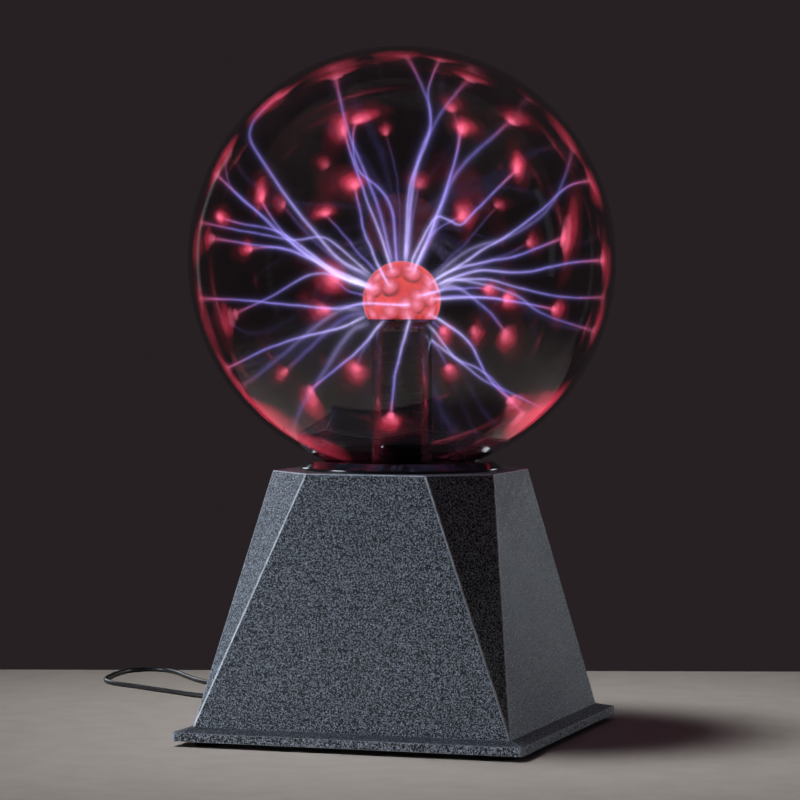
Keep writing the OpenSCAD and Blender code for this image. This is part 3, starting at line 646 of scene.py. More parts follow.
def turned(profile: Sequence[Pair], steps: int, closed: bool = True) -> Mesh:
    """Turns a profile about Z.

    Args:
        profile: distance from the axis and height of each point.
        steps: facets round the axis.
        closed: whether the last point is joined to the first.

    Returns:
        The turned mesh, merged, with its faces outwards.
    """
    mesh = bmesh.new()
    verts = [mesh.verts.new((radius, 0.0, height)) for radius, height in profile]
    pairs = list(zip(verts, verts[1:]))
    if closed:
        pairs.append((verts[-1], verts[0]))
    edges = [mesh.edges.new(pair) for pair in pairs]
    bmesh.ops.spin(mesh, geom=verts + edges, cent=(0, 0, 0), axis=(0, 0, 1), angle=TURN, steps=steps,
                   use_merge=True, use_duplicate=False)
    bmesh.ops.remove_doubles(mesh, verts=mesh.verts, dist=1e-7)
    bmesh.ops.dissolve_degenerate(mesh, edges=mesh.edges, dist=1e-7)
    bmesh.ops.recalc_face_normals(mesh, faces=mesh.faces)
    return mesh


def moved(mesh: Mesh, matrix: Matrix) -> Mesh:
    """Moves a whole mesh by a matrix and returns it."""
    bmesh.ops.transform(mesh, matrix=matrix, verts=mesh.verts)
    return mesh


def joined(parts: Iterable[Mesh]) -> Mesh:
    """Joins meshes into one.

    Args:
        parts: the meshes, which are freed.

    Returns:
        The joined mesh.
    """
    whole = bmesh.new()
    carrier = bpy.data.meshes.new("carrier")
    for part in parts:
        part.to_mesh(carrier)
        part.free()
        whole.from_mesh(carrier)
    bpy.data.meshes.remove(carrier)
    return whole


def merged_copy(node: str) -> Mesh:
    """A merged copy of a CAD node's mesh, its flat faces whole.

    Args:
        node: the CAD node's name.

    Returns:
        The copy.
    """
    mesh = bmesh.new()
    mesh.from_mesh(frame["nodes"][node].data)
    bmesh.ops.remove_doubles(mesh, verts=mesh.verts, dist=2e-6)
    bmesh.ops.dissolve_limit(mesh, angle_limit=math.radians(0.5), verts=mesh.verts, edges=mesh.edges)
    bmesh.ops.dissolve_degenerate(mesh, edges=mesh.edges, dist=0.03 * MM)
    return mesh


def swept(points: Sequence[Vector], radii: Sequence[float], tints: Sequence[tuple], sides: int) -> Mesh:
    """Sweeps a ring along a line, with a radius and a tint at each point.

    Args:
        points: the line's points.
        radii: the ring's radius at each point.
        tints: red, green, blue and cover at each point.
        sides: number of the ring's sides.

    Returns:
        The closed tube.
    """
    last = len(points) - 1
    tangents = [(points[min(i + 1, last)] - points[max(i - 1, 0)]).normalized() for i in range(last + 1)]
    turn = Vector((0, 0, 1)).rotation_difference(tangents[0])
    spots = []
    for index, (point, radius) in enumerate(zip(points, radii)):
        if index:
            turn = tangents[index - 1].rotation_difference(tangents[index]) @ turn
        spots.append(Matrix.LocRotScale(point, turn, Vector((radius, radius, radius))))
    mesh = bmesh.new()
    layer = mesh.verts.layers.float_color.new(TINT)
    ring = bmesh.ops.create_circle(mesh, cap_ends=False, segments=sides, radius=1.0)["verts"]
    first_edges = edges = list(mesh.edges)
    bmesh.ops.transform(mesh, matrix=spots[0], verts=ring)
    for vert in ring:
        vert[layer] = tints[0]
    for index in range(1, last + 1):
        made = bmesh.ops.extrude_edge_only(mesh, edges=edges)["geom"]
        ring = [item for item in made if isinstance(item, bmesh.types.BMVert)]
        fresh = set(ring)
        edges = [
            item for item in made
            if isinstance(item, Edge) and item.verts[0] in fresh and item.verts[1] in fresh
        ]
        bmesh.ops.transform(mesh, matrix=spots[index] @ spots[index - 1].inverted(), verts=ring)
        for vert in ring:
            vert[layer] = tints[index]
    bmesh.ops.holes_fill(mesh, edges=first_edges + edges, sides=sides)
    bmesh.ops.recalc_face_normals(mesh, faces=mesh.faces)
    return mesh


def smooth_line(stops: Sequence[Vector], spacing: float) -> list[Vector]:
    """A smooth line through points, with even steps.

    Args:
        stops: the points that the line passes.
        spacing: distance from step to step.

    Returns:
        The line's points, the ends included.
    """
    dense: list[Vector] = []
    for index in range(len(stops) - 1):
        before = stops[max(index - 1, 0)]
        here, there = stops[index], stops[index + 1]
        after = stops[min(index + 2, len(stops) - 1)]
        for step in range(DENSE_STEPS):
            t = step / DENSE_STEPS
            dense.append(0.5 * (
                2 * here + (there - before) * t + (2 * before - 5 * here + 4 * there - after) * t * t
                + (3 * here - before - 3 * there + after) * t ** 3
            ))
    dense.append(stops[-1].copy())
    lengths = [0.0]
    for here, there in zip(dense, dense[1:]):
        lengths.append(lengths[-1] + (there - here).length)
    count = max(8, round(lengths[-1] / spacing))
    line = []
    place = 0
    for step in range(count + 1):
        target = lengths[-1] * step / count
        while place < len(lengths) - 2 and lengths[place + 1] < target:
            place += 1
        share = (target - lengths[place]) / max(lengths[place + 1] - lengths[place], 1e-9)
        line.append(dense[place].lerp(dense[place + 1], clamped(share)))
    return line


def linked(name: str, data: bpy.types.ID) -> Piece:
    """Makes an object of some data and adds it to the scene."""
    made = bpy.data.objects.new(name, data)
    bpy.context.scene.collection.objects.link(made)
    return made


def shown(
    name: str, mesh: Mesh, finish: Finish, slot: str, replaces: Sequence[str] = (), body: str = BASE,
    sharp: float = 35.0, even: bool = False,
) -> Piece:
    """Makes a finished piece of a mesh.

    Args:
        name: the piece's name.
        mesh: its mesh, which is freed.
        finish: its finish.
        slot: the record's material slot; not used.
        replaces: CAD nodes that it stands for.
        body: the body that it rides on.
        sharp: angle in degrees above which an edge is shaded sharp.
        even: whether broad faces keep their own shading beside narrow roundings.

    Returns:
        The piece.
    """
    data = bpy.data.meshes.new(name)
    mesh.to_mesh(data)
    mesh.free()
    data.polygons.foreach_set("use_smooth", [True] * len(data.polygons))
    data.set_sharp_from_angle(angle=math.radians(sharp))
    data.materials.append(finish.material())
    piece = linked(name, data)
    if even:
        weighted = piece.modifiers.new("even_shading", "WEIGHTED_NORMAL")
        weighted.keep_sharp = True
        weighted.weight = 80
    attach(piece, body)
    if replaces:
        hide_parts(*replaces)
    LOG.info("%s: %d faces", name, len(data.polygons))
    return piece


def softened(
    node: str, finish: Finish, slot: str, width: float, least_angle: float, body: str = BASE,
    keep: Callable[[Edge], bool] | None = None, segments: int = 2,
) -> Piece:
    """Stands a copy with rounded edges, marked for wear and a painted edge highlight, in for a CAD node.

    Args:
        node: the CAD node's name.
        finish: the copy's finish.
        slot: the record's material slot, passed on to shown.
        width: width of the rounding.
        least_angle: smallest angle in degrees between the faces of an edge that is rounded.
        body: the body that it rides on.
        keep: says which of the sharp edges are rounded; all when left out.
        segments: facets across the rounding.

    Returns:
        The rounded piece.
    """
    mesh = merged_copy(node)
    least = math.radians(least_angle)
    sharp = [
        edge for edge in mesh.edges
        if edge.is_manifold and edge.calc_face_angle(0.0) > least and (keep is None or keep(edge))
    ]
    bmesh.ops.bevel(mesh, geom=sharp, offset=width, offset_type="OFFSET", affect="EDGES", segments=segments,
                    profile=0.5, material=-1, clamp_overlap=True)
    # Marks the narrow rounding faces, which take wear and a painted edge highlight.
    layer = mesh.faces.layers.float.new(EDGE)
    for face in mesh.faces:
        longest = max(edge.calc_length() for edge in face.edges)
        face[layer] = 1.0 if face.calc_area() < longest * width else 0.0
    return shown("soft_" + node, mesh, finish, slot, (node,), body, even=True)


def dressed(finish: Finish, *nodes: str) -> None:
    """Gives CAD nodes a finish.

    Args:
        finish: the finish.
        nodes: the CAD nodes' names.
    """
    for node in nodes:
        piece = frame["nodes"][node]
        if not piece.material_slots:
            piece.data.materials.append(None)
        for place in piece.material_slots:
            place.material = finish.material()
        LOG.info("%s: %s", node, finish.name)


# -------------------------------------------------------------------- studio


@dataclass(frozen=True)
class Sight:
    """The line along which the lamp is seen and its discharge is laid out."""

    azimuth: float = 17.86
    elevation: float = 1.53
    roll: float = 0.15
    distance: float = 1.5334
    focus: float = 0.165
    across: float = -0.00071
    above: float = -0.00901
    lens: float = 147.48

    def axes(self) -> tuple[Vector, Vector, Vector]:
        """Directions to the right, upwards and back towards the viewer."""
        a = math.radians(self.azimuth)
        e = math.radians(self.elevation)
        back = Vector((math.sin(a) * math.cos(e), -math.cos(a) * math.cos(e), math.sin(e)))
        right = Vector((math.cos(a), math.sin(a), 0.0))
        return right, back.cross(right), back

    def make_camera(self) -> None:
        """Makes the scene's camera."""
        right, up, back = self.axes()
        roll = math.radians(self.roll)
        target = Vector((0, 0, self.focus)) + right * self.across + up * self.above
        side = right * math.cos(roll) + up * math.sin(roll)
        top = up * math.cos(roll) - right * math.sin(roll)
        data = bpy.data.cameras.new("camera")
        data.lens = self.lens
        data.sensor_width = 36.0
        data.clip_start = 0.05
        camera = linked("camera", data)
        turn = Matrix((side, top, back)).transposed().to_4x4()
        camera.matrix_world = Matrix.Translation(target + back * self.distance) @ turn
        bpy.context.scene.camera = camera


class Reach(Enum):
    """What a studio light falls on."""

    ALL = "everything"
    LAMP = "lamp_without_its_globe"
    FLOOR = "floor_alone"


@dataclass(frozen=True)
class SoftLight:
    """A soft rectangular light that points at the lamp."""

    name: str
    place: Point
    size: Pair
    power: float
    reach: Reach = Reach.LAMP
    colour: Colour = (0.84, 0.91, 1.0)
    aim: Point = (0.0, 0.0, 0.08)
    spread: float = 180.0

    def make(self, globe: Piece, floor: Piece) -> None:
        """Makes the light.

        Args:
            globe: the glass globe, which most lights leave out, so that it reflects little.
            floor: the floor, which has a light of its own.
        """
        data = bpy.data.lights.new(self.name, "AREA")
        data.shape = "RECTANGLE"
        data.size, data.size_y = self.size
        data.energy = self.power
        data.color = self.colour
        data.spread = math.radians(self.spread)
        light = linked(self.name, data)
        turn = (Vector(self.place) - Vector(self.aim)).to_track_quat("Z", "Y")
        light.matrix_world = Matrix.Translation(self.place) @ turn.to_matrix().to_4x4()
        if self.reach is Reach.ALL:
            return
        receivers = bpy.data.collections.new(self.name + "_" + self.reach.value)
        receivers.objects.link(floor)
        if self.reach is Reach.LAMP:
            receivers.objects.link(globe)
        for place in receivers.collection_objects:
            place.light_linking.link_state = "EXCLUDE" if self.reach is Reach.LAMP else "INCLUDE"
        light.light_linking.receiver_collection = receivers


@dataclass
class Studio:
    """Plain pale floor, dim surroundings and soft lights."""

    sight: Sight
    floor_width: float = 6.0
    floor_behind: float = 0.268
    floor_before: float = 4.5
    floor_thickness: float = 0.03
    floor_edge: float = 0.003
    surroundings: Colour = (0.0205, 0.0152, 0.0170)
    walls_seen_through: int = 96
    bounces: int = 16
    lights: tuple[SoftLight, ...] = (
        SoftLight("key_light", (-1.15, -0.68, 0.45), (0.4, 0.4), 14.0, colour=(0.8, 0.9, 1.0)),
        SoftLight("rim_light", (0.78, 1.3, 0.35), (0.35, 0.35), 2.9),
        SoftLight("back_fill", (-1.1, 1.0, 0.45), (0.4, 0.4), 2.2),
        SoftLight("floor_light", (-0.35, -0.15, 1.2), (0.6, 0.6), 0.5, Reach.FLOOR, (1.0, 0.97, 0.94),
                  spread=25.0),
        SoftLight("left_strip", (-1.5, 0.9, 0.5), (0.12, 0.9), 0.07, Reach.ALL, aim=(0.0, 0.0, 0.22)),
        SoftLight("right_strip", (1.4, 0.3, 0.5), (0.12, 0.9), 0.05, Reach.ALL, aim=(0.0, 0.0, 0.22)),
    )

    def make(self, globe: Piece) -> None:
        """Makes the floor, the surroundings and the lights.

        Args:
            globe: the glass globe.
        """
        floor = self.make_floor()
        self.make_world()
        for light in self.lights:
            light.make(globe, floor)
        scene = bpy.context.scene
        scene.view_settings.view_transform = "Standard"
        scene.cycles.transparent_max_bounces = self.walls_seen_through
        scene.cycles.transmission_bounces = self.bounces
        scene.cycles.max_bounces = self.bounces

    def make_floor(self) -> Piece:
        """Makes the floor, a slab with a rounded edge, square to the view, and returns it."""
        right, _, back = self.sight.axes()
        away = Vector((-back.x, -back.y, 0.0)).normalized()
        mesh = bmesh.new()
        bmesh.ops.create_cube(mesh, size=1.0)
        length = self.floor_behind + self.floor_before
        bmesh.ops.scale(mesh, vec=(self.floor_width, length, self.floor_thickness), verts=mesh.verts)
        middle = (self.floor_behind - self.floor_before) / 2
        bmesh.ops.translate(mesh, vec=(0.0, middle, -self.floor_thickness / 2), verts=mesh.verts)
        bmesh.ops.bevel(mesh, geom=list(mesh.edges), offset=self.floor_edge, affect="EDGES", segments=3,
                        profile=0.5, material=-1)
        moved(mesh, Matrix((right, away, Vector((0, 0, 1)))).transposed().to_4x4())
        data = bpy.data.meshes.new("floor")
        mesh.to_mesh(data)
        mesh.free()
        data.materials.append(FLOOR.material())
        floor = linked("floor", data)
        return floor

    def make_world(self) -> None:
        """Makes the dim surroundings."""
        world = bpy.data.worlds.new("surroundings")
        world.use_nodes = True
        background = world.node_tree.nodes["Background"]
        background.inputs["Color"].default_value = (*self.surroundings, 1.0)
        background.inputs["Strength"].default_value = 1.0
        bpy.context.scene.world = world



# --------------------------------------------------------------- supply lead


@dataclass
class SupplyLead:
    """The supply plug, the lead with its coil, and the wall adapter."""

    diameter: float = 2.4 * MM
    coil_centre: Pair = (0.024, 0.122)
    coil_out: float = 18.8 * MM
    coil_in: float = 9.2 * MM
    turns: int = 4
    steps: int = 16
    exit: Point = (-0.020, 0.103697, 0.028)
    length: float = 1.37
    loop: tuple[Point, ...] = (
        (-20, 103.697, 28), (-20, 106.697, 28), (-20, 110.697, 27.5), (-22, 122, 22), (-30, 136, 12),
        (-44, 146, 4.5), (-60, 149, 1.2), (-80, 147, 1.2), (-100, 142, 1.2), (-120, 139, 1.2),
        (-140, 143, 1.2), (-160, 157, 1.2), (-178, 178, 1.2), (-193, 197, 1.2), (-206, 204, 1.2),
        (-216, 198, 1.2), (-219, 184, 1.2), (-217, 165, 1.2), (-212, 147, 1.2), (-202, 135, 1.2),
        (-187, 126, 1.2), (-162, 111, 1.2), (-136, 96, 1.2), (-115, 90, 1.2), (-90, 91, 1.2),
        (-60, 96, 1.2), (-30, 100, 1.2), (0, 103, 1.2), (12, 103.5, 1.2),
    )
    tail: tuple[Point, ...] = (
        (16, 142.5, 2.8), (9, 148, 1.3), (8, 155, 1.2), (12, 162, 1.6), (20, 168, 4.5),
        (23, 175, 9.5), (17, 180, 13), (10, 180, 14), (4, 180, 14),
    )

    def coil(self) -> list[Vector]:
        """Points of the coil: inwards on the floor, then outwards on top."""
        half = self.diameter / 2
        lap = TURN * self.turns
        rise = TURN / 2
        count = round((2 * lap + rise) / TURN * self.steps)
        points = []
        for index in range(count + 1):
            turned_by = (2 * lap + rise) * index / count
            inward = min(turned_by / lap, 1.0)
            outward = max((turned_by - lap - rise) / lap, 0.0)
            climb = clamped((turned_by - lap) / rise)
            radius = self.coil_out + (self.coil_in - self.coil_out) * (inward - outward)
            angle = turned_by - TURN / 4
            points.append(Vector((
                self.coil_centre[0] + radius * math.cos(angle),
                self.coil_centre[1] + radius * math.sin(angle),
                half + self.diameter * climb,
            )))
        return points

    def make(self) -> None:
        """Makes the lead, and dresses what is on it."""
        points = [Vector(p) * MM for p in self.loop] + self.coil() + [Vector(p) * MM for p in self.tail]
        data = bpy.data.curves.new("supply_lead", "CURVE")
        data.dimensions = "3D"
        data.bevel_depth = self.diameter / 2
        data.bevel_resolution = 3
        data.resolution_u = 4
        data.use_fill_caps = True
        spline = data.splines.new("BEZIER")
        spline.bezier_points.add(len(points) - 1)
        for knot, point in zip(spline.bezier_points, points):
            knot.co = point
            knot.handle_left_type = knot.handle_right_type = "AUTO"
        data.materials.append(SHEATH.material())
        lead = linked("supply_lead", data)
        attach(lead, BASE)
        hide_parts("power_lead", "lead_coil", "lead_tail")
        self.make_ends()
        LOG.info("supply_lead: %d points", len(points))

    def make_ends(self) -> list[Piece]:
        """Makes the pieces on the lead and returns them."""
        soft = (
            ("plug_grip", BLACK_RUBBER, "black_rubber", 0.35 * MM, 30.0),
            ("plug_relief", BLACK_RUBBER, "black_rubber", 0.2 * MM, 30.0),
            ("adapter_relief", BLACK_RUBBER, "black_rubber", 0.2 * MM, 30.0),
            ("coil_tie", BLACK_SATIN, "black_matte", 0.25 * MM, 40.0),
            ("adapter_case", BLACK_SATIN, "black_matte", 0.35 * MM, 30.0),
            ("adapter_cover", BLACK_SATIN, "black_matte", 0.35 * MM, 30.0),
        )
        pieces = [softened(*row) for row in soft]
        dressed(NICKEL, "plug_barrel", "adapter_pins")
        return pieces + [frame["nodes"]["plug_barrel"], frame["nodes"]["adapter_pins"]]


# --------------------------------------------------------------------- globe


@dataclass
class Globe:
    """The glass globe, its stem, the sleeve in the stem and the collar under the globe."""

    wall: float = 2.0 * MM
    neck: float = 28.0 * MM
    stem: float = 14.25 * MM
    stem_wall: float = 1.3 * MM
    stem_flare: float = 3.0 * MM
    bulb: float = 17.75 * MM
    sleeve_wall: float = 1.4 * MM
    ridge: float = 0.9 * MM
    ridge_root: float = 0.2 * MM
    ridge_pitch: float = 4.3 * MM
    collar_bore: float = 31.5 * MM
    collar_spigot: float = 33.35 * MM
    collar_seat: float = 35.6 * MM
    collar_crown: float = 44.0 * MM
    collar_edge: float = 1.1 * MM
    collar_bead: float = 0.5 * MM
    collar_lip: float = 0.9 * MM
    collar_foot: float = 0.3 * MM
    steps: int = 192
    radius: float = field(init=False)
    centre: Vector = field(init=False)
    neck_foot: float = field(init=False)
    bulb_centre: Vector = field(init=False)

    def __post_init__(self) -> None:
        """Reads the globe's size and place from the frame."""
        low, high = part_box("globe_glass")
        self.radius = (high.x - low.x) / 2
        self.centre = Vector((0, 0, high.z - self.radius))
        self.neck_foot = low.z
        self.bulb_centre = Vector((0, 0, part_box("glass_stem")[1].z - self.bulb))

    def make(self) -> Piece:
        """Makes the glass, the stem, the sleeve and the collar, and returns the globe."""
        glass = self.make_glass()
        self.make_stem()
        self.make_sleeve()
        self.make_collar()
        dressed(STEEL, "contact_spring", "cradle_screws")
        dressed(BRASS, "contact_cap")
        dressed(WIRE_RED, "high_voltage_lead")
        dressed(SILICONE, "neck_seal")
        dressed(BLACK_SATIN, "globe_cradle")
        return glass

    def make_glass(self) -> Piece:
        """Makes the globe with its neck, as one shell, and returns it."""
        z = self.centre.z
        inner = self.radius - self.wall
        neck_in = self.neck - self.wall
        profile = arc((0, z), self.radius, 90, neck_angle(self.neck, self.radius), 88)
        profile += [(self.neck, self.neck_foot), (neck_in, self.neck_foot)]
        profile += arc((0, z), inner, neck_angle(neck_in, inner), 90, 88)
        shell = turned(profile, self.steps, closed=False)
        return shown("clear_globe", shell, GLOBE_GLASS, "globe_glass", ("globe_glass",))

    def make_stem(self) -> None:
        """Makes the stem with the bulb on top, as one shell of glass."""
        z = self.bulb_centre.z
        bulb_in = self.bulb - self.stem_wall
        stem_in = self.stem - self.stem_wall
        neck_in = self.neck - self.wall
        foot = self.neck_foot
        floor = foot + self.wall
        flare = self.stem_flare
        profile = arc((0, z), self.bulb, 90, neck_angle(self.stem, self.bulb), 36)
        profile += [(self.stem, floor + 2 * flare)]
        profile += arc((self.stem + flare, floor + flare), flare, 180, 270, 6)
        profile += [(neck_in, floor), (neck_in, foot), (stem_in, foot)]
        profile += arc((0, z), bulb_in, neck_angle(stem_in, bulb_in), 90, 36)
        shown("clear_stem", turned(profile, 96, closed=False), STEM_GLASS, "stem_glass", ("glass_stem",))

    def make_sleeve(self) -> None:
        """Makes the ribbed sleeve, its ridges rounded."""
        low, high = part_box("ribbed_sleeve")
        pitch = self.ridge_pitch
        valley = high.x - self.ridge
        bore = valley - self.sleeve_wall
        profile = [(bore, low.z), (valley, low.z)]
        for index in range(int((high.z - low.z) / pitch) - 1):
            z = low.z + (index + 1) * pitch + 0.3 * pitch
            profile += arc((valley - self.ridge_root, z), self.ridge + self.ridge_root, -75, 75, 8)
        profile += [(valley, high.z), (bore, high.z)]
        shown("ridged_sleeve", turned(profile, 72), SLEEVE_NYLON, "black_matte", ("ribbed_sleeve",))

    def make_collar(self) -> None:
        """Makes the gloss collar, with a round top edge and a soft lip over the glass."""
        low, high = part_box("collar_ring")
        top = high.z
        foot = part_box("base_shell")[1].z
        corner = high.x - self.collar_foot
        bead = self.collar_bead
        lip = self.collar_lip
        edge = self.collar_edge
        spigot = self.collar_spigot
        profile = [(self.collar_bore, foot), (self.collar_bore, low.z), (spigot, low.z), (spigot, foot)]
        profile += [(corner, foot)]
        profile += arc((corner, foot + self.collar_foot), self.collar_foot, -90, 0, 3)
        profile += arc((high.x - bead, foot + lip), bead, 0, 55, 4)
        profile += arc((self.collar_crown - edge, top - edge), edge, 50, 95, 8)
        profile += arc((self.collar_seat + lip, top - bead), bead, 90, 180, 5)
        profile += [(self.collar_seat - lip, foot + 1.6 * MM)]
        mesh = turned(profile, 160)
        shown("gloss_collar", mesh, BLACK_GLOSS, "black_gloss", ("collar_ring",), sharp=50.0)


# ----------------------------------------------------------------- discharge


class Side(Enum):
    """Which side of the globe a filament lands on, as the lamp is seen."""

    FRONT = 1.0
    RIM = 0.0
    BACK = -1.0


@dataclass(frozen=True)
class Strand:
    """A filament, in millimetres across and above the globe's centre, as it is seen."""

    end: Pair
    side: Side
    via: tuple[Pair, ...] = ()
    root: Pair | None = None
    light: float = 1.0
    tuft: Pair = (4.5, 5.0)
    drift: Pair = (0.0, 0.0)
    tilt: float = 0.0
    width: float = 1.0
    shown: bool = True


@dataclass(frozen=True)
class Halo:
    """One of the nested tubes of a filament."""

    radius: float
    cover: float


FRONT, RIM, BACK = Side.FRONT, Side.RIM, Side.BACK

STRANDS = (
    # Upper left, round to the left
    Strand((-57, 80), RIM, ((-35, 6), (-66, 47), (-71, 63)), width=1.3, tuft=(10, 4), tilt=50),
    Strand((-89, 41), RIM, ((-34, -5), (-56, 12), (-86, 39)), width=1.1, tuft=(9, 4), tilt=62),
    Strand((-81, 51), RIM, ((-34, -4), (-58, 15), (-80, 34)), light=0.35, tuft=(5, 3), tilt=150),
    Strand((-65, 26), FRONT, ((-30, -8), (-52, 6)), light=0.8, tuft=(4.5, 6.5), drift=(0, 3)),
    Strand((-85, 18), FRONT, ((-28, -8), (-56, 11), (-74, 15)),
           light=0.8, tuft=(7, 3.5), tilt=-18, drift=(3, -1)),
    Strand((-97, 18), RIM, ((-35, 10), (-51, 10), (-75, 14)), light=0.7, tuft=(6, 3), tilt=80),
    Strand((-87, 8), FRONT, ((-30, -6), (-52, 3), (-72, 6)), light=0.8, tuft=(4, 4.5)),
    Strand((-70, 2), FRONT, ((-37, -3), (-56, 3)), light=0.7, tuft=(4.5, 3.5)),
    Strand((-96, -18), RIM, ((-18, -21), (-33, -23), (-66, -19.5)), root=(2, -2.5), tuft=(8, 3), tilt=100),
    Strand((-76, -27), FRONT, ((-30, -8), (-42, -8), (-57, -17)), light=0.75, tuft=(5, 7), drift=(-5, -3)),
    Strand((-81, -50), RIM, ((-30, -32), (-56, -39)), tuft=(7, 3), tilt=118),
    Strand((-76, -60), RIM, ((-32, -25), (-61, -49)), light=0.4, width=2.0, tuft=(9, 4), tilt=128),
    Strand((-42, -62), FRONT, ((-12, -33), (-20, -43)), tuft=(5, 9), drift=(1, -8), tilt=20),
    Strand((-50, -80), RIM, ((-25, -35), (-45, -66)), light=0.45, width=2.2,
           tuft=(8, 9), drift=(1, 4), tilt=-30),
    Strand((-57, -52), BACK, ((-30, -28),), light=0.4, width=2.0, tuft=(3, 6), tilt=-40),
    # Under the ball
    Strand((-22, -49), BACK, ((-16, -36),), light=0.3, width=1.6, tuft=(7, 8)),
    Strand((-5, -74), FRONT, ((2, -34), (-3, -55)), root=(3, -8.5), tuft=(5.5, 6.5), drift=(0, -4)),
    Strand((13, -76), BACK, light=0.35, tuft=(1.3, 8), shown=False),
    Strand((23, -49), BACK, ((15, -36),), light=0.35, width=1.4, tuft=(5, 5.5)),
    # Lower right
    Strand((50, -66), FRONT, ((19, -29), (31, -39), (41, -57)), tuft=(7, 8), drift=(5, -3), tilt=40),
    Strand((67, -69), RIM, ((15, -38), (38, -55)), light=0.6, tuft=(9, 5), tilt=48),
    Strand((56, -72), FRONT, ((15, -33), (24, -45), (38, -53)),
           light=0.7, tuft=(9, 7), drift=(-3, -5), tilt=40),
    Strand((48, -37), FRONT, ((25, -14), (38, -24)), light=0.7, width=1.3, tuft=(5, 6.5), drift=(1, -3)),
    Strand((70, -25), FRONT, ((25, -18.5), (43, -19)), tuft=(4, 4.5)),
    Strand((51, -15), BACK, ((30, -15),), light=0.6, tuft=(5.5, 5.5)),
    Strand((40, -17), FRONT, ((25, -15),), light=0.8, tuft=(4.5, 3.5)),
    Strand((35, -30), BACK, light=0.3, tuft=(4, 6), shown=False),
    Strand((93, -34), RIM, ((28, -9), (51, -15), (65, -24)), light=0.6, width=1.2, tuft=(8, 3), tilt=68),
    Strand((96, -17), RIM, ((22, -9), (41, -9), (65, -15), (80, -17)), light=0.8, tuft=(9, 3), tilt=80),
    # Right
    Strand((93, -1), FRONT, ((25, -8), (38, -5), (58, -6), (78, -2)), tuft=(4, 7), drift=(0, 1)),
    Strand((74, 8), FRONT, ((22, -6), (38, -2), (55, 1)), tuft=(4.5, 14), drift=(4, 3), tilt=-8),
    Strand((90, 38), RIM, ((24, -4), (51, 13), (67, 26), (78, 35)), tuft=(9, 3), tilt=-65),
    Strand((81, 55), RIM, ((30, 4), (55, 14), (72, 30)), light=0.4, width=1.4, tuft=(12, 2.5), tilt=-52),
    Strand((46, 30), BACK, ((25, 5),), light=0.15, tuft=(4, 3)),
    # Upper right
    Strand((54, 70), BACK, ((15, 15), (24, 40), (45, 62)), light=0.65, width=1.7,
           tuft=(8, 5), drift=(2, 1), tilt=35),
    Strand((53, 39), FRONT, ((6, 2), (15, 18), (22, 17.5), (28, 15), (35, 22)), tuft=(4, 7), drift=(0, 2)),
    Strand((29, 25), BACK, ((14, 14),), light=0.5, tuft=(6, 7)),
    Strand((27, 58), FRONT, ((15, 16), (23, 38)), tuft=(5, 5.5), drift=(2, 0)),
    Strand((22, 67), FRONT, ((15, 17), (24, 42), (26, 57)), light=0.25, tuft=(5, 5), tilt=-40),
    Strand((33, 89), BACK, ((5, 38), (14, 63), (24, 78)), light=0.6, width=1.6, tuft=(8, 4), drift=(0, 1)),
    Strand((1, 97), RIM, ((6, 40), (13, 63), (10, 80)), light=0.6, width=1.3, tuft=(8, 2.5), tilt=4),
    Strand((18, 95.5), RIM, ((4, 36), (13, 60), (12, 79)), light=0.7, tuft=(8, 2.5), tilt=-12),
    # Upper left, over the ball
    Strand((-32, 90), BACK, ((-13, 31), (-24, 57), (-30, 80)),
           light=0.75, width=1.2, tuft=(9, 4), drift=(0, 1)),
    Strand((-22, 71), BACK, ((-6, 28), (-20, 44), (-23, 59)), light=0.9, width=1.1,
           tuft=(8, 5), drift=(3, 2),
           tilt=25),
    Strand((-27, 57), FRONT, ((-12, 16), (-22, 41)), tuft=(4.5, 9), drift=(-2, 1)),
    Strand((-22, 31), FRONT, ((-9, -7), (-17, 9)), root=(-5.5, 6), tuft=(5, 5)),
    Strand((-37, 26), BACK, ((-20, 5),), light=0.45, tuft=(6.5, 4), tilt=15),
    Strand((-37, 49), BACK, light=0.12, tuft=(4, 4), shown=False),
    Strand((-8, 65), BACK, ((-2, 35),), light=0.12, tuft=(3, 4)),
    # Rear of the globe
    Strand((-32, -5), BACK, ((-24, -12),), light=0.5, tuft=(9, 8)),
    Strand((-37, -20), BACK, ((-26, -19),), light=0.5, tuft=(7, 5)),
    Strand((8, 40), BACK, ((4, 15),), light=0.25, tuft=(5, 5)),
    Strand((62, 12), BACK, ((35, -2),), light=0.2, width=1.4, tuft=(4, 5)),
    Strand((-58, 30), BACK, ((-35, 5),), light=0.2, width=1.4, tuft=(4, 5)),
    Strand((5, -12), BACK, ((4, -16),), light=0.8, tuft=(6, 6)),
    Strand((20, -30), BACK, ((14, -26),), light=0.5, tuft=(5, 6)),
)


@dataclass(frozen=True)
class LimbArc:
    """A red glow along the rim, between two angles anticlockwise from the right."""

    start: float
    end: float
    light: float
    depth: float = 20.0


LIMB_ARCS = (
    LimbArc(184, 214, 0.3),
    LimbArc(206, 226, 0.6),
    LimbArc(216, 246, 1.0, 34.0),
    LimbArc(234, 256, 0.6, 38.0),
    LimbArc(168, 184, 0.4),
    LimbArc(142, 158, 0.7),
    LimbArc(122, 140, 0.8),
    LimbArc(102, 118, 0.25),
    LimbArc(84, 100, 0.3),
    LimbArc(30, 46, 0.5),
    LimbArc(14, 28, 0.5),
    LimbArc(-8, 6, 0.4),
    LimbArc(-24, -10, 0.4),
    LimbArc(-62, -38, 1.3, 40.0),
    LimbArc(-50, -34, 0.6),
)


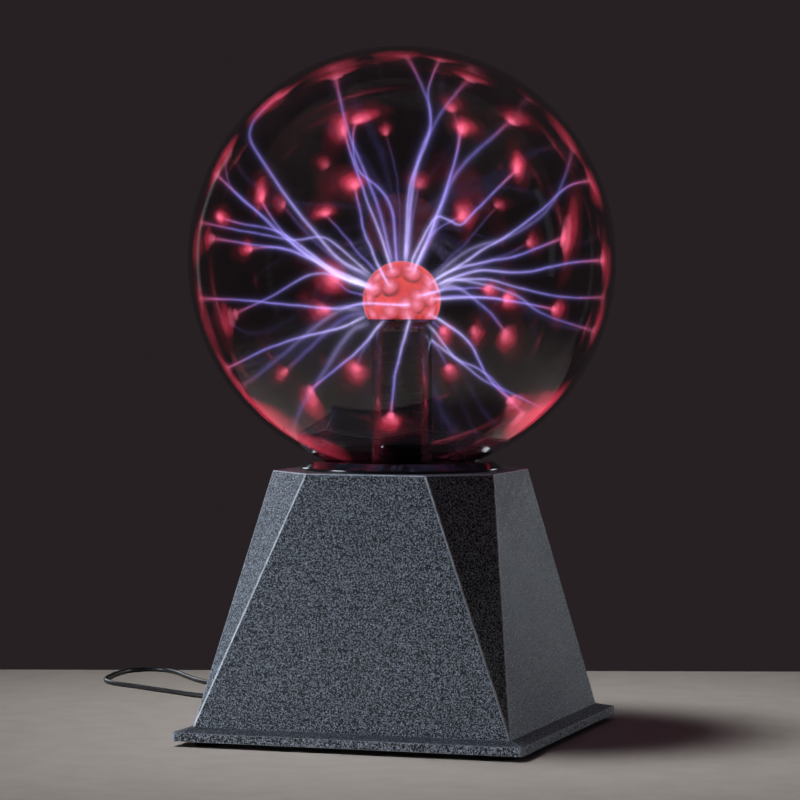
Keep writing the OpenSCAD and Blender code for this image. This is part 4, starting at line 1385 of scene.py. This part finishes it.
@dataclass(frozen=True)
class FilamentForm:
    """How a filament changes on its way from the bulb, at 0, to the glass, at 1."""

    sides: int = 8
    step: float = 2.6 * MM
    straight: float = 3.5 * MM
    bow: float = 1.1
    wavers: tuple[Pair, ...] = ((55.0, 0.9 * MM), (160.0, 0.25 * MM))
    thinnest: float = 0.05 * MM
    start_width: float = 1.4
    slimming: float = 0.4
    root_length: float = 0.06
    root_swell: float = 0.3
    root_fade: float = 0.85
    foot_length: float = 0.1
    foot_swell: float = 2.4
    foot_fade: float = 0.35
    warm_from: float = 0.8
    warm_length: float = 0.17
    cooling: float = 1.5
    cooler_behind: float = 0.6
    fade: float = 0.45
    fade_rate: float = 1.35


@dataclass(frozen=True)
class LensForm:
    """The facets, the ragged outline and the patches of a lens of glow."""

    segments: int = 28
    rings: int = 12
    ragged: float = 0.35
    ragged_scale: float = 1.3
    variety: float = 70.0
    patch_level: float = 0.9
    patches: float = 0.5
    patch_scale: float = 110.0
    patch_least: float = 0.1
    fading: float = 1.4


@dataclass
class Discharge:
    """The glowing gas: filaments, the tufts where they land, and the lit bulb."""

    sight: Sight
    globe: Globe
    form: FilamentForm = FilamentForm()
    lens_form: LensForm = LensForm()
    ball_gap: float = 0.35 * MM
    landing_gap: float = 0.15 * MM
    seed: int = 5
    cores: tuple[Halo, ...] = (Halo(0.28 * MM, 0.070), Halo(0.52 * MM, 0.042), Halo(0.85 * MM, 0.020))
    veils: tuple[Halo, ...] = (Halo(1.30 * MM, 0.008), Halo(2.00 * MM, 0.003), Halo(3.20 * MM, 0.0012))
    near: Colour = (0.62, 0.55, 1.0)
    far: Colour = (0.36, 0.29, 1.0)
    landing: Colour = (1.0, 0.16, 0.32)
    tuft: Colour = (1.0, 0.062, 0.13)
    tuft_heart: Colour = (1.0, 0.17, 0.29)
    limb_cover: float = 0.10
    inside: Colour = (0.02, 0.001, 0.001)
    orange: Colour = (0.95, 0.075, 0.04)
    red: Colour = (0.70, 0.035, 0.035)
    # Painted shadow colour for the lower foot of the spots.
    shadow: Colour = (0.07, 0.001, 0.004)
    spot: tuple[tuple[float, Colour], ...] = (
        (0.0, (0.95, 0.30, 0.42)), (1.5, (0.85, 0.17, 0.25)), (3.3, (0.62, 0.06, 0.09)),
    )
    spot_shadow: Pair = (4.1, 4.7)
    spot_end: float = 5.6
    spare_spots: tuple[Pair, ...] = (
        (4.6, 11.7), (11.8, 3.4), (-5.5, -5.9), (2.6, -7.4), (-13.5, -7.3), (14, -6), (12.5, 9.6),
        (-11.4, 10.5), (-15.3, 0.5), (7, -2.5),
    )
    sheath_foot: float = 2.5 * MM
    sheaths: tuple[tuple[float, float, Colour], ...] = (
        (0.3, 0.012, (1.0, 0.5, 0.5)), (0.6, 0.003, (1.0, 0.5, 0.7)),
        (1.3, 0.0008, (0.7, 0.5, 1.0)), (2.6, 0.0004, (0.5, 0.4, 1.0)),
    )
    right: Vector = field(init=False)
    up: Vector = field(init=False)
    back: Vector = field(init=False)
    ball_radius: float = field(init=False)
    inner: float = field(init=False)

    def __post_init__(self) -> None:
        """Works out the radii that the filaments run between."""
        self.right, self.up, self.back = self.sight.axes()
        self.ball_radius = self.globe.bulb + self.ball_gap
        self.inner = self.globe.radius - self.globe.wall - self.landing_gap

    def seen(self, place: Pair, depth: float) -> Vector:
        """A point that is seen at a place.

        Args:
            place: millimetres across and above the globe's centre.
            depth: metres from the globe's centre towards the viewer.

        Returns:
            The point.
        """
        nearer = 1 - depth / self.sight.distance
        flat = (self.right * place[0] + self.up * place[1]) * (MM * nearer)
        return self.globe.centre + flat + self.back * depth

    def on_sphere(self, place: Pair, side: Side, centre: Vector, radius: float) -> Vector:
        """The point of a sphere that is seen at a place.

        Args:
            place: millimetres across and above the sphere's centre.
            side: near or far side, or the rim.
            centre: the sphere's centre.
            radius: the sphere's radius.

        Returns:
            The point.
        """
        flat = Vector(place) * MM
        depth = side.value * math.sqrt(max(radius ** 2 - flat.length_squared, 0.0))
        nearer = 1 - depth / self.sight.distance
        offset = (self.right * flat.x + self.up * flat.y) * nearer + self.back * depth
        return centre + offset.normalized() * radius

    def line(self, strand: Strand) -> list[Vector]:
        """The smooth line of a filament, from the bulb to the glass.

        Args:
            strand: the filament.

        Returns:
            The line's points.
        """
        centre = self.globe.centre
        ball = self.globe.bulb_centre
        end = self.on_sphere(strand.end, strand.side, centre, self.inner)
        end_depth = (end - centre).dot(self.back)
        drop = (ball - centre).dot(self.up) / MM
        start = strand.root or (0.0, 0.0)
        stops = [(start[0], start[1] + drop), *strand.via, strand.end]
        reach = [0.0]
        for here, there in zip(stops, stops[1:]):
            reach.append(reach[-1] + math.dist(here, there))
        root = None
        start_depth = 0.0
        if strand.root:
            root = self.on_sphere(strand.root, FRONT, ball, self.ball_radius)
            start_depth = (root - centre).dot(self.back)
        points = []
        for place, passed in zip(stops[1:-1], reach[1:-1]):
            share = (passed / reach[-1]) ** self.form.bow
            points.append(self.seen(place, start_depth + (end_depth - start_depth) * share))
        if root is None:
            first = points[0] if points else end
            root = ball + (first - ball).normalized() * self.ball_radius
        leaving = root + (root - ball).normalized() * self.form.straight
        line = smooth_line([root, leaving, *points, end], self.form.step)
        return [self.wavered(point, index / (len(line) - 1)) for index, point in enumerate(line)]

    def wavered(self, point: Vector, share: float) -> Vector:
        """A point moved a little, as rising gas bends a filament; the noise's seed sets the way."""
        shake = Vector()
        for scale, reach in self.form.wavers:
            shake += noise.noise_vector(point * scale) * reach
        return point + shake * math.sin(math.pi * share)

    def tube(self, strand: Strand, line: Sequence[Vector], halo: Halo) -> Mesh:
        """One of a filament's nested tubes.

        Args:
            strand: the filament.
            line: its line.
            halo: the tube's radius and cover.

        Returns:
            The tube.
        """
        form = self.form
        behind = form.cooler_behind if strand.side is BACK else 0.0
        radii = []
        tints = []
        for index in range(len(line)):
            share = index / (len(line) - 1)
            foot = max(share - (1 - form.foot_length), 0.0) / form.foot_length
            root = max(1 - share / form.root_length, 0.0)
            swell = 1 + form.foot_swell * foot ** 2 + form.root_swell * root
            width = strand.width * (form.start_width - form.slimming * share) * swell
            radii.append(max(halo.radius * width, form.thinnest))
            warm = clamped((share - form.warm_from) / form.warm_length)
            cool = Vector(self.near).lerp(Vector(self.far), min(share * form.cooling + behind, 1.0))
            dimmed = 1.0 - form.fade * min(share * form.fade_rate, 1.0)
            fade = dimmed * (1 - form.foot_fade * foot) * (1 - form.root_fade * root)
            cover = halo.cover * fade * strand.light / strand.width ** 0.5
            tints.append((*cool.lerp(Vector(self.landing), warm), min(cover, 1.0)))
        tints[-1] = (*tints[-1][:3], 0.0)
        mesh = swept(line, radii, tints, form.sides)
        for vert in mesh.verts:
            offset = vert.co - self.globe.centre
            if offset.length > self.inner:
                vert.co = self.globe.centre + offset * (self.inner / offset.length)
        return mesh

    def lens(
        self, middle: Vector, along: Vector, half: Pair, depth: float, thick: float, tint: Tint,
    ) -> Mesh:
        """A thin lens that lies along the glass and fades to its edge.

        Args:
            middle: direction of its middle from the globe's centre.
            along: direction of its first half width.
            half: its half widths.
            depth: how far it lies inside the glass.
            thick: its half thickness.
            tint: red, green, blue and cover at its middle.

        Returns:
            The lens.
        """
        form = self.lens_form
        mesh = bmesh.new()
        layer = mesh.verts.layers.float_color.new(TINT)
        bmesh.ops.create_uvsphere(mesh, u_segments=form.segments, v_segments=form.rings, radius=1.0)
        radius = self.inner + self.landing_gap - depth - thick
        normal = middle.normalized()
        first = (along - normal * along.dot(normal)).normalized()
        second = normal.cross(first)
        for vert in mesh.verts:
            x, y, z = vert.co
            outline = noise.noise(Vector((x, y, 0)) * form.ragged_scale + normal * form.variety)
            swell = 1 + form.ragged * outline
            a = x * half[0] * swell / radius
            b = y * half[1] * swell / radius
            direction = (normal * math.cos(a) + first * math.sin(a)) * math.cos(b) + second * math.sin(b)
            spot = self.globe.centre + direction * (radius + z * thick)
            inwards = 1 - min(x * x + y * y, 1.0)
            patch = form.patch_level + form.patches * noise.noise(spot * form.patch_scale)
            cover = tint[3] * inwards ** form.fading * max(patch, form.patch_least)
            vert[layer] = (*tint[:3], max(cover, 0.0))
            vert.co = spot
        bmesh.ops.recalc_face_normals(mesh, faces=mesh.faces)
        return mesh

    def tuft_lenses(self, strand: Strand) -> list[Mesh]:
        """The glow where a filament lands.

        Args:
            strand: the filament.

        Returns:
            Its lenses, from wide and faint to small and bright.
        """
        end = Vector(strand.end)
        drift = Vector(strand.drift) if strand.drift != (0.0, 0.0) else end.normalized() * 2.0
        tilt = math.radians(strand.tilt)
        along = self.right * math.cos(tilt) + self.up * math.sin(tilt)
        light = min(0.35 + 0.75 * strand.light, 1.0)
        layers = (
            (1.1, 2.1, 0.009, 0.3, self.tuft),
            (0.8, 1.25, 0.06, 0.9, self.tuft),
            (0.45, 0.8, 0.08, 1.5, self.tuft_heart),
            (0.15, 0.45, 0.13, 2.1, self.tuft_heart),
        )
        lenses = []
        for share, size, cover, depth, colour in layers:
            place = tuple(end + drift * share)
            spot = self.on_sphere(place, strand.side, self.globe.centre, self.inner)
            half = (strand.tuft[0] * size * MM, strand.tuft[1] * size * MM)
            tint = (*colour, cover * light)
            lenses.append(self.lens(spot - self.globe.centre, along, half, depth * MM, 0.4 * MM, tint))
        return lenses

    def limb_lens(self, limb: LimbArc) -> Mesh:
        """A glow along the rim.

        Args:
            limb: where it runs.

        Returns:
            The lens.
        """
        middle = math.radians((limb.start + limb.end) / 2)
        normal = self.right * math.cos(middle) + self.up * math.sin(middle)
        along = self.up * math.cos(middle) - self.right * math.sin(middle)
        half = math.radians(limb.end - limb.start) / 2 * self.inner
        tint = (*self.tuft, self.limb_cover * limb.light)
        return self.lens(normal, along, (half, limb.depth * MM), 0.2 * MM, 0.5 * MM, tint)

    def make(self) -> None:
        """Makes the filaments, the tufts and the lit bulb."""
        noise.seed_set(self.seed)
        lines = {index: self.line(strand) for index, strand in enumerate(STRANDS) if strand.shown}
        for name, halos in (("filament_cores", self.cores), ("filament_veils", self.veils)):
            tubes = [self.tube(STRANDS[i], line, halo) for i, line in lines.items() for halo in halos]
            shown(name, joined(tubes), FILAMENT_GAS, "plasma", sharp=180.0)
        tufts = [lens for strand in STRANDS for lens in self.tuft_lenses(strand)]
        limbs = [self.limb_lens(limb) for limb in LIMB_ARCS]
        for name, lenses in (("landing_tufts", tufts), ("rim_glow", limbs)):
            shown(name, joined(lenses), TUFT_GAS, "plasma", sharp=180.0)
        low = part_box("electrode_lining")[0].z
        self.make_bulb([line[0] - self.globe.bulb_centre for line in lines.values()], low)
        self.make_sheath(low)

    def make_bulb(self, roots: list[Vector], low: float) -> None:
        """Makes the lit coating, with a spot under each filament.

        Args:
            roots: direction of each filament's root from the bulb's centre.
            low: height of the coating's foot.
        """
        centre = self.globe.bulb_centre
        spots = [root.normalized() for root in roots]
        for place in self.spare_spots:
            spots.append((self.on_sphere(place, FRONT, centre, self.ball_radius) - centre).normalized())
        wall = 0.2 * MM
        mesh = self.cut_shell(self.ball_radius, wall, low, 220)
        layer = mesh.verts.layers.float_color.new(TINT)
        for vert in mesh.verts:
            offset = vert.co - centre
            outside = offset.length > self.ball_radius - wall / 2
            colour = self.coating_colour(offset.normalized(), spots) if outside else self.inside
            vert[layer] = (*colour, 1.0)
        shown("lit_bulb", mesh, BULB_COATING, "lit_lining", ("electrode_lining",), sharp=60.0)

    def make_sheath(self, low: float) -> None:
        """Makes the faint glow round the bulb.

        Args:
            low: height of its foot.
        """
        shells = []
        for grown, cover, colour in self.sheaths:
            shell = self.cut_shell(self.ball_radius + grown * MM, 0.05 * MM, low, 64)
            layer = shell.verts.layers.float_color.new(TINT)
            for vert in shell.verts:
                vert[layer] = (*colour, cover * clamped((vert.co.z - low) / self.sheath_foot))
            shells.append(shell)
        shown("bulb_sheath", joined(shells), FILAMENT_GAS, "plasma", sharp=180.0)

    def cut_shell(self, radius: float, wall: float, low: float, steps: int) -> Mesh:
        """A thin shell of a sphere about the bulb, cut level at its foot.

        Args:
            radius: the outer radius.
            wall: the wall's thickness.
            low: height of the cut.
            steps: facets round the axis.

        Returns:
            The closed shell.
        """
        z = self.globe.bulb_centre.z
        outside = math.degrees(math.asin((low - z) / radius))
        inside = math.degrees(math.asin((low - z) / (radius - wall)))
        profile = arc((0, z), radius, 90, outside, steps * 2 // 3)
        profile += arc((0, z), radius - wall, inside, 90, steps // 6)
        return turned(profile, steps, closed=False)

    def coating_colour(self, direction: Vector, spots: Sequence[Vector]) -> Vector:
        """The coating's colour at a place: pale in a spot, a painted shadow at its foot, darker on the lower
        side, orange between.

        Args:
            direction: the place's direction from the bulb's centre.
            spots: the spots' directions.

        Returns:
            The colour.
        """
        nearest = max(spots, key=lambda spot: direction.dot(spot))
        away = math.acos(min(max(direction.dot(nearest), -1.0), 1.0)) * self.ball_radius / MM
        # Painted shade: the foot of each spot darkens towards its lower side.
        below = clamped(0.35 + (nearest.z - direction.z) * 2.4)
        shade = 0.5 + 0.9 * noise.noise(direction * 3.0)
        ground = Vector(self.orange).lerp(Vector(self.red), shade)
        stops = [(reach, Vector(colour)) for reach, colour in self.spot]
        stops += [(reach, ground.lerp(Vector(self.shadow), below)) for reach in self.spot_shadow]
        stops += [(self.spot_end, ground)]
        for (start, first), (end, second) in zip(stops, stops[1:]):
            if away < end:
                return first.lerp(second, (away - start) / (end - start))
        return ground


# ------------------------------------------------------------------- housing


@dataclass
class Housing:
    """The faceted base shell, the bottom plate, the feet and the screws."""

    crease: float = 0.55 * MM
    rim: float = 0.5 * MM
    long_edge: float = 18.0 * MM
    rim_from: float = 81.0 * MM
    level: float = 0.1 * MM

    def make(self) -> None:
        """Makes the shell and the plate, and dresses the rest."""
        softened("base_shell", GLINT_FLECKED, "textured_plastic", self.crease, 12.0, keep=self.is_outer_crease,
                 segments=3)
        softened("base_plate", PLATE_PLASTIC, "textured_plastic", self.rim, 15.0, keep=self.is_outer_rim)
        dressed(BLACK_RUBBER, "rubber_feet")
        dressed(STEEL, "base_screws")

    def is_outer_rim(self, edge: Edge) -> bool:
        """Whether an edge runs round the plate's outer rim."""
        middle = (edge.verts[0].co + edge.verts[1].co) / 2
        rise = abs(edge.verts[0].co.z - edge.verts[1].co.z)
        return max(abs(middle.x), abs(middle.y)) > self.rim_from and rise < self.level

    def is_outer_crease(self, edge: Edge) -> bool:
        """Whether an edge is a long one on the shell's outside."""
        middle = (edge.verts[0].co + edge.verts[1].co) / 2
        normals = [face.normal for face in edge.link_faces]
        outward = all(n.z > 0.9 or n.x * middle.x + n.y * middle.y > 0 for n in normals)
        return edge.calc_length() > self.long_edge and outward and edge.is_convex


# ------------------------------------------------------------------ controls


@dataclass
class Controls:
    """The supply jack, the rocker switch and the microphone in the rear recess."""

    tilt: float = 12.0
    dot_radius: float = 0.9 * MM
    dot_height: float = 0.3 * MM
    face: float = 4.6 * MM
    dot_offset: float = 5.4 * MM
    dot_spread: float = 1.8 * MM

    def make(self) -> None:
        """Makes the switch and the jack, and dresses the small parts."""
        soft = (
            ("switch_housing", BLACK_GLOSS, "black_gloss", 0.4 * MM, BASE),
            ("rocker", BLACK_SATIN, "black_gloss", 0.45 * MM, ROCKER),
            ("jack_body", BLACK_SATIN, "black_gloss", 0.35 * MM, BASE),
        )
        for node, finish, slot, width, body in soft:
            softened(node, finish, slot, width, 35.0, body)
        self.make_dots()
        dressed(NICKEL, "jack_pin", "jack_nut", "switch_terminals")
        dressed(ALUMINIUM, "microphone")
        dressed(WIRE_RED, "jack_wires", "switch_wires", "microphone_wires")

    def make_dots(self) -> None:
        """Makes the raised dots that mark the rocker's ends: one at the top, two at the foot."""
        pivot = Vector(frame["joints"][0]["pos_m"])
        turn = Matrix.Rotation(math.radians(self.tilt), 4, "X")
        dots = []
        size = Matrix.Diagonal((self.dot_radius, self.dot_height * 2, self.dot_radius, 1.0))
        spread, offset = self.dot_spread, self.dot_offset
        for x, z in ((0.0, offset), (-spread, -offset), (spread, -offset)):
            dot = bmesh.new()
            bmesh.ops.create_uvsphere(dot, u_segments=20, v_segments=10, radius=1.0)
            place = Matrix.Translation(pivot) @ turn @ Matrix.Translation((x, self.face, z)) @ size
            dots.append(moved(dot, place))
        shown("rocker_dots", joined(dots), IVORY_NYLON, "ivory_nylon", body=ROCKER)


@dataclass
class DriverBoard:
    """The circuit board and what stands on it."""

    edge: float = 0.2 * MM

    def make(self) -> None:
        """Rounds the moulded parts and dresses the rest."""
        soft = (
            ("transformer_core", FERRITE, "ferrite"),
            ("board_connectors", IVORY_NYLON, "ivory_nylon"),
            ("heat_sink", ALUMINIUM, "aluminium"),
            ("power_transistor", EPOXY, "epoxy"),
        )
        for node, finish, slot in soft:
            softened(node, finish, slot, self.edge, 40.0)
        dressed(SOLDER_MASK, "circuit_board")
        dressed(STEEL, "board_screws")
        dressed(BLACK_SATIN, "winding_bobbins")
        dressed(COPPER_WIRE, "primary_winding")
        dressed(EPOXY, "secondary_winding", "driver_chip")
        dressed(CAPACITOR_SLEEVE, "smoothing_capacitors")
        dressed(RESISTOR_LACQUER, "resistors")


def main() -> None:
    """Builds the studio and the lamp."""
    logging.basicConfig(level=logging.INFO, format="%(message)s")
    sight = Sight()
    sight.make_camera()
    SupplyLead().make()
    globe = Globe()
    glass = globe.make()
    Studio(sight).make(glass)
    Discharge(sight, globe).make()
    Housing().make()
    Controls().make()
    DriverBoard().make()


if __name__ == "__main__":
    main()
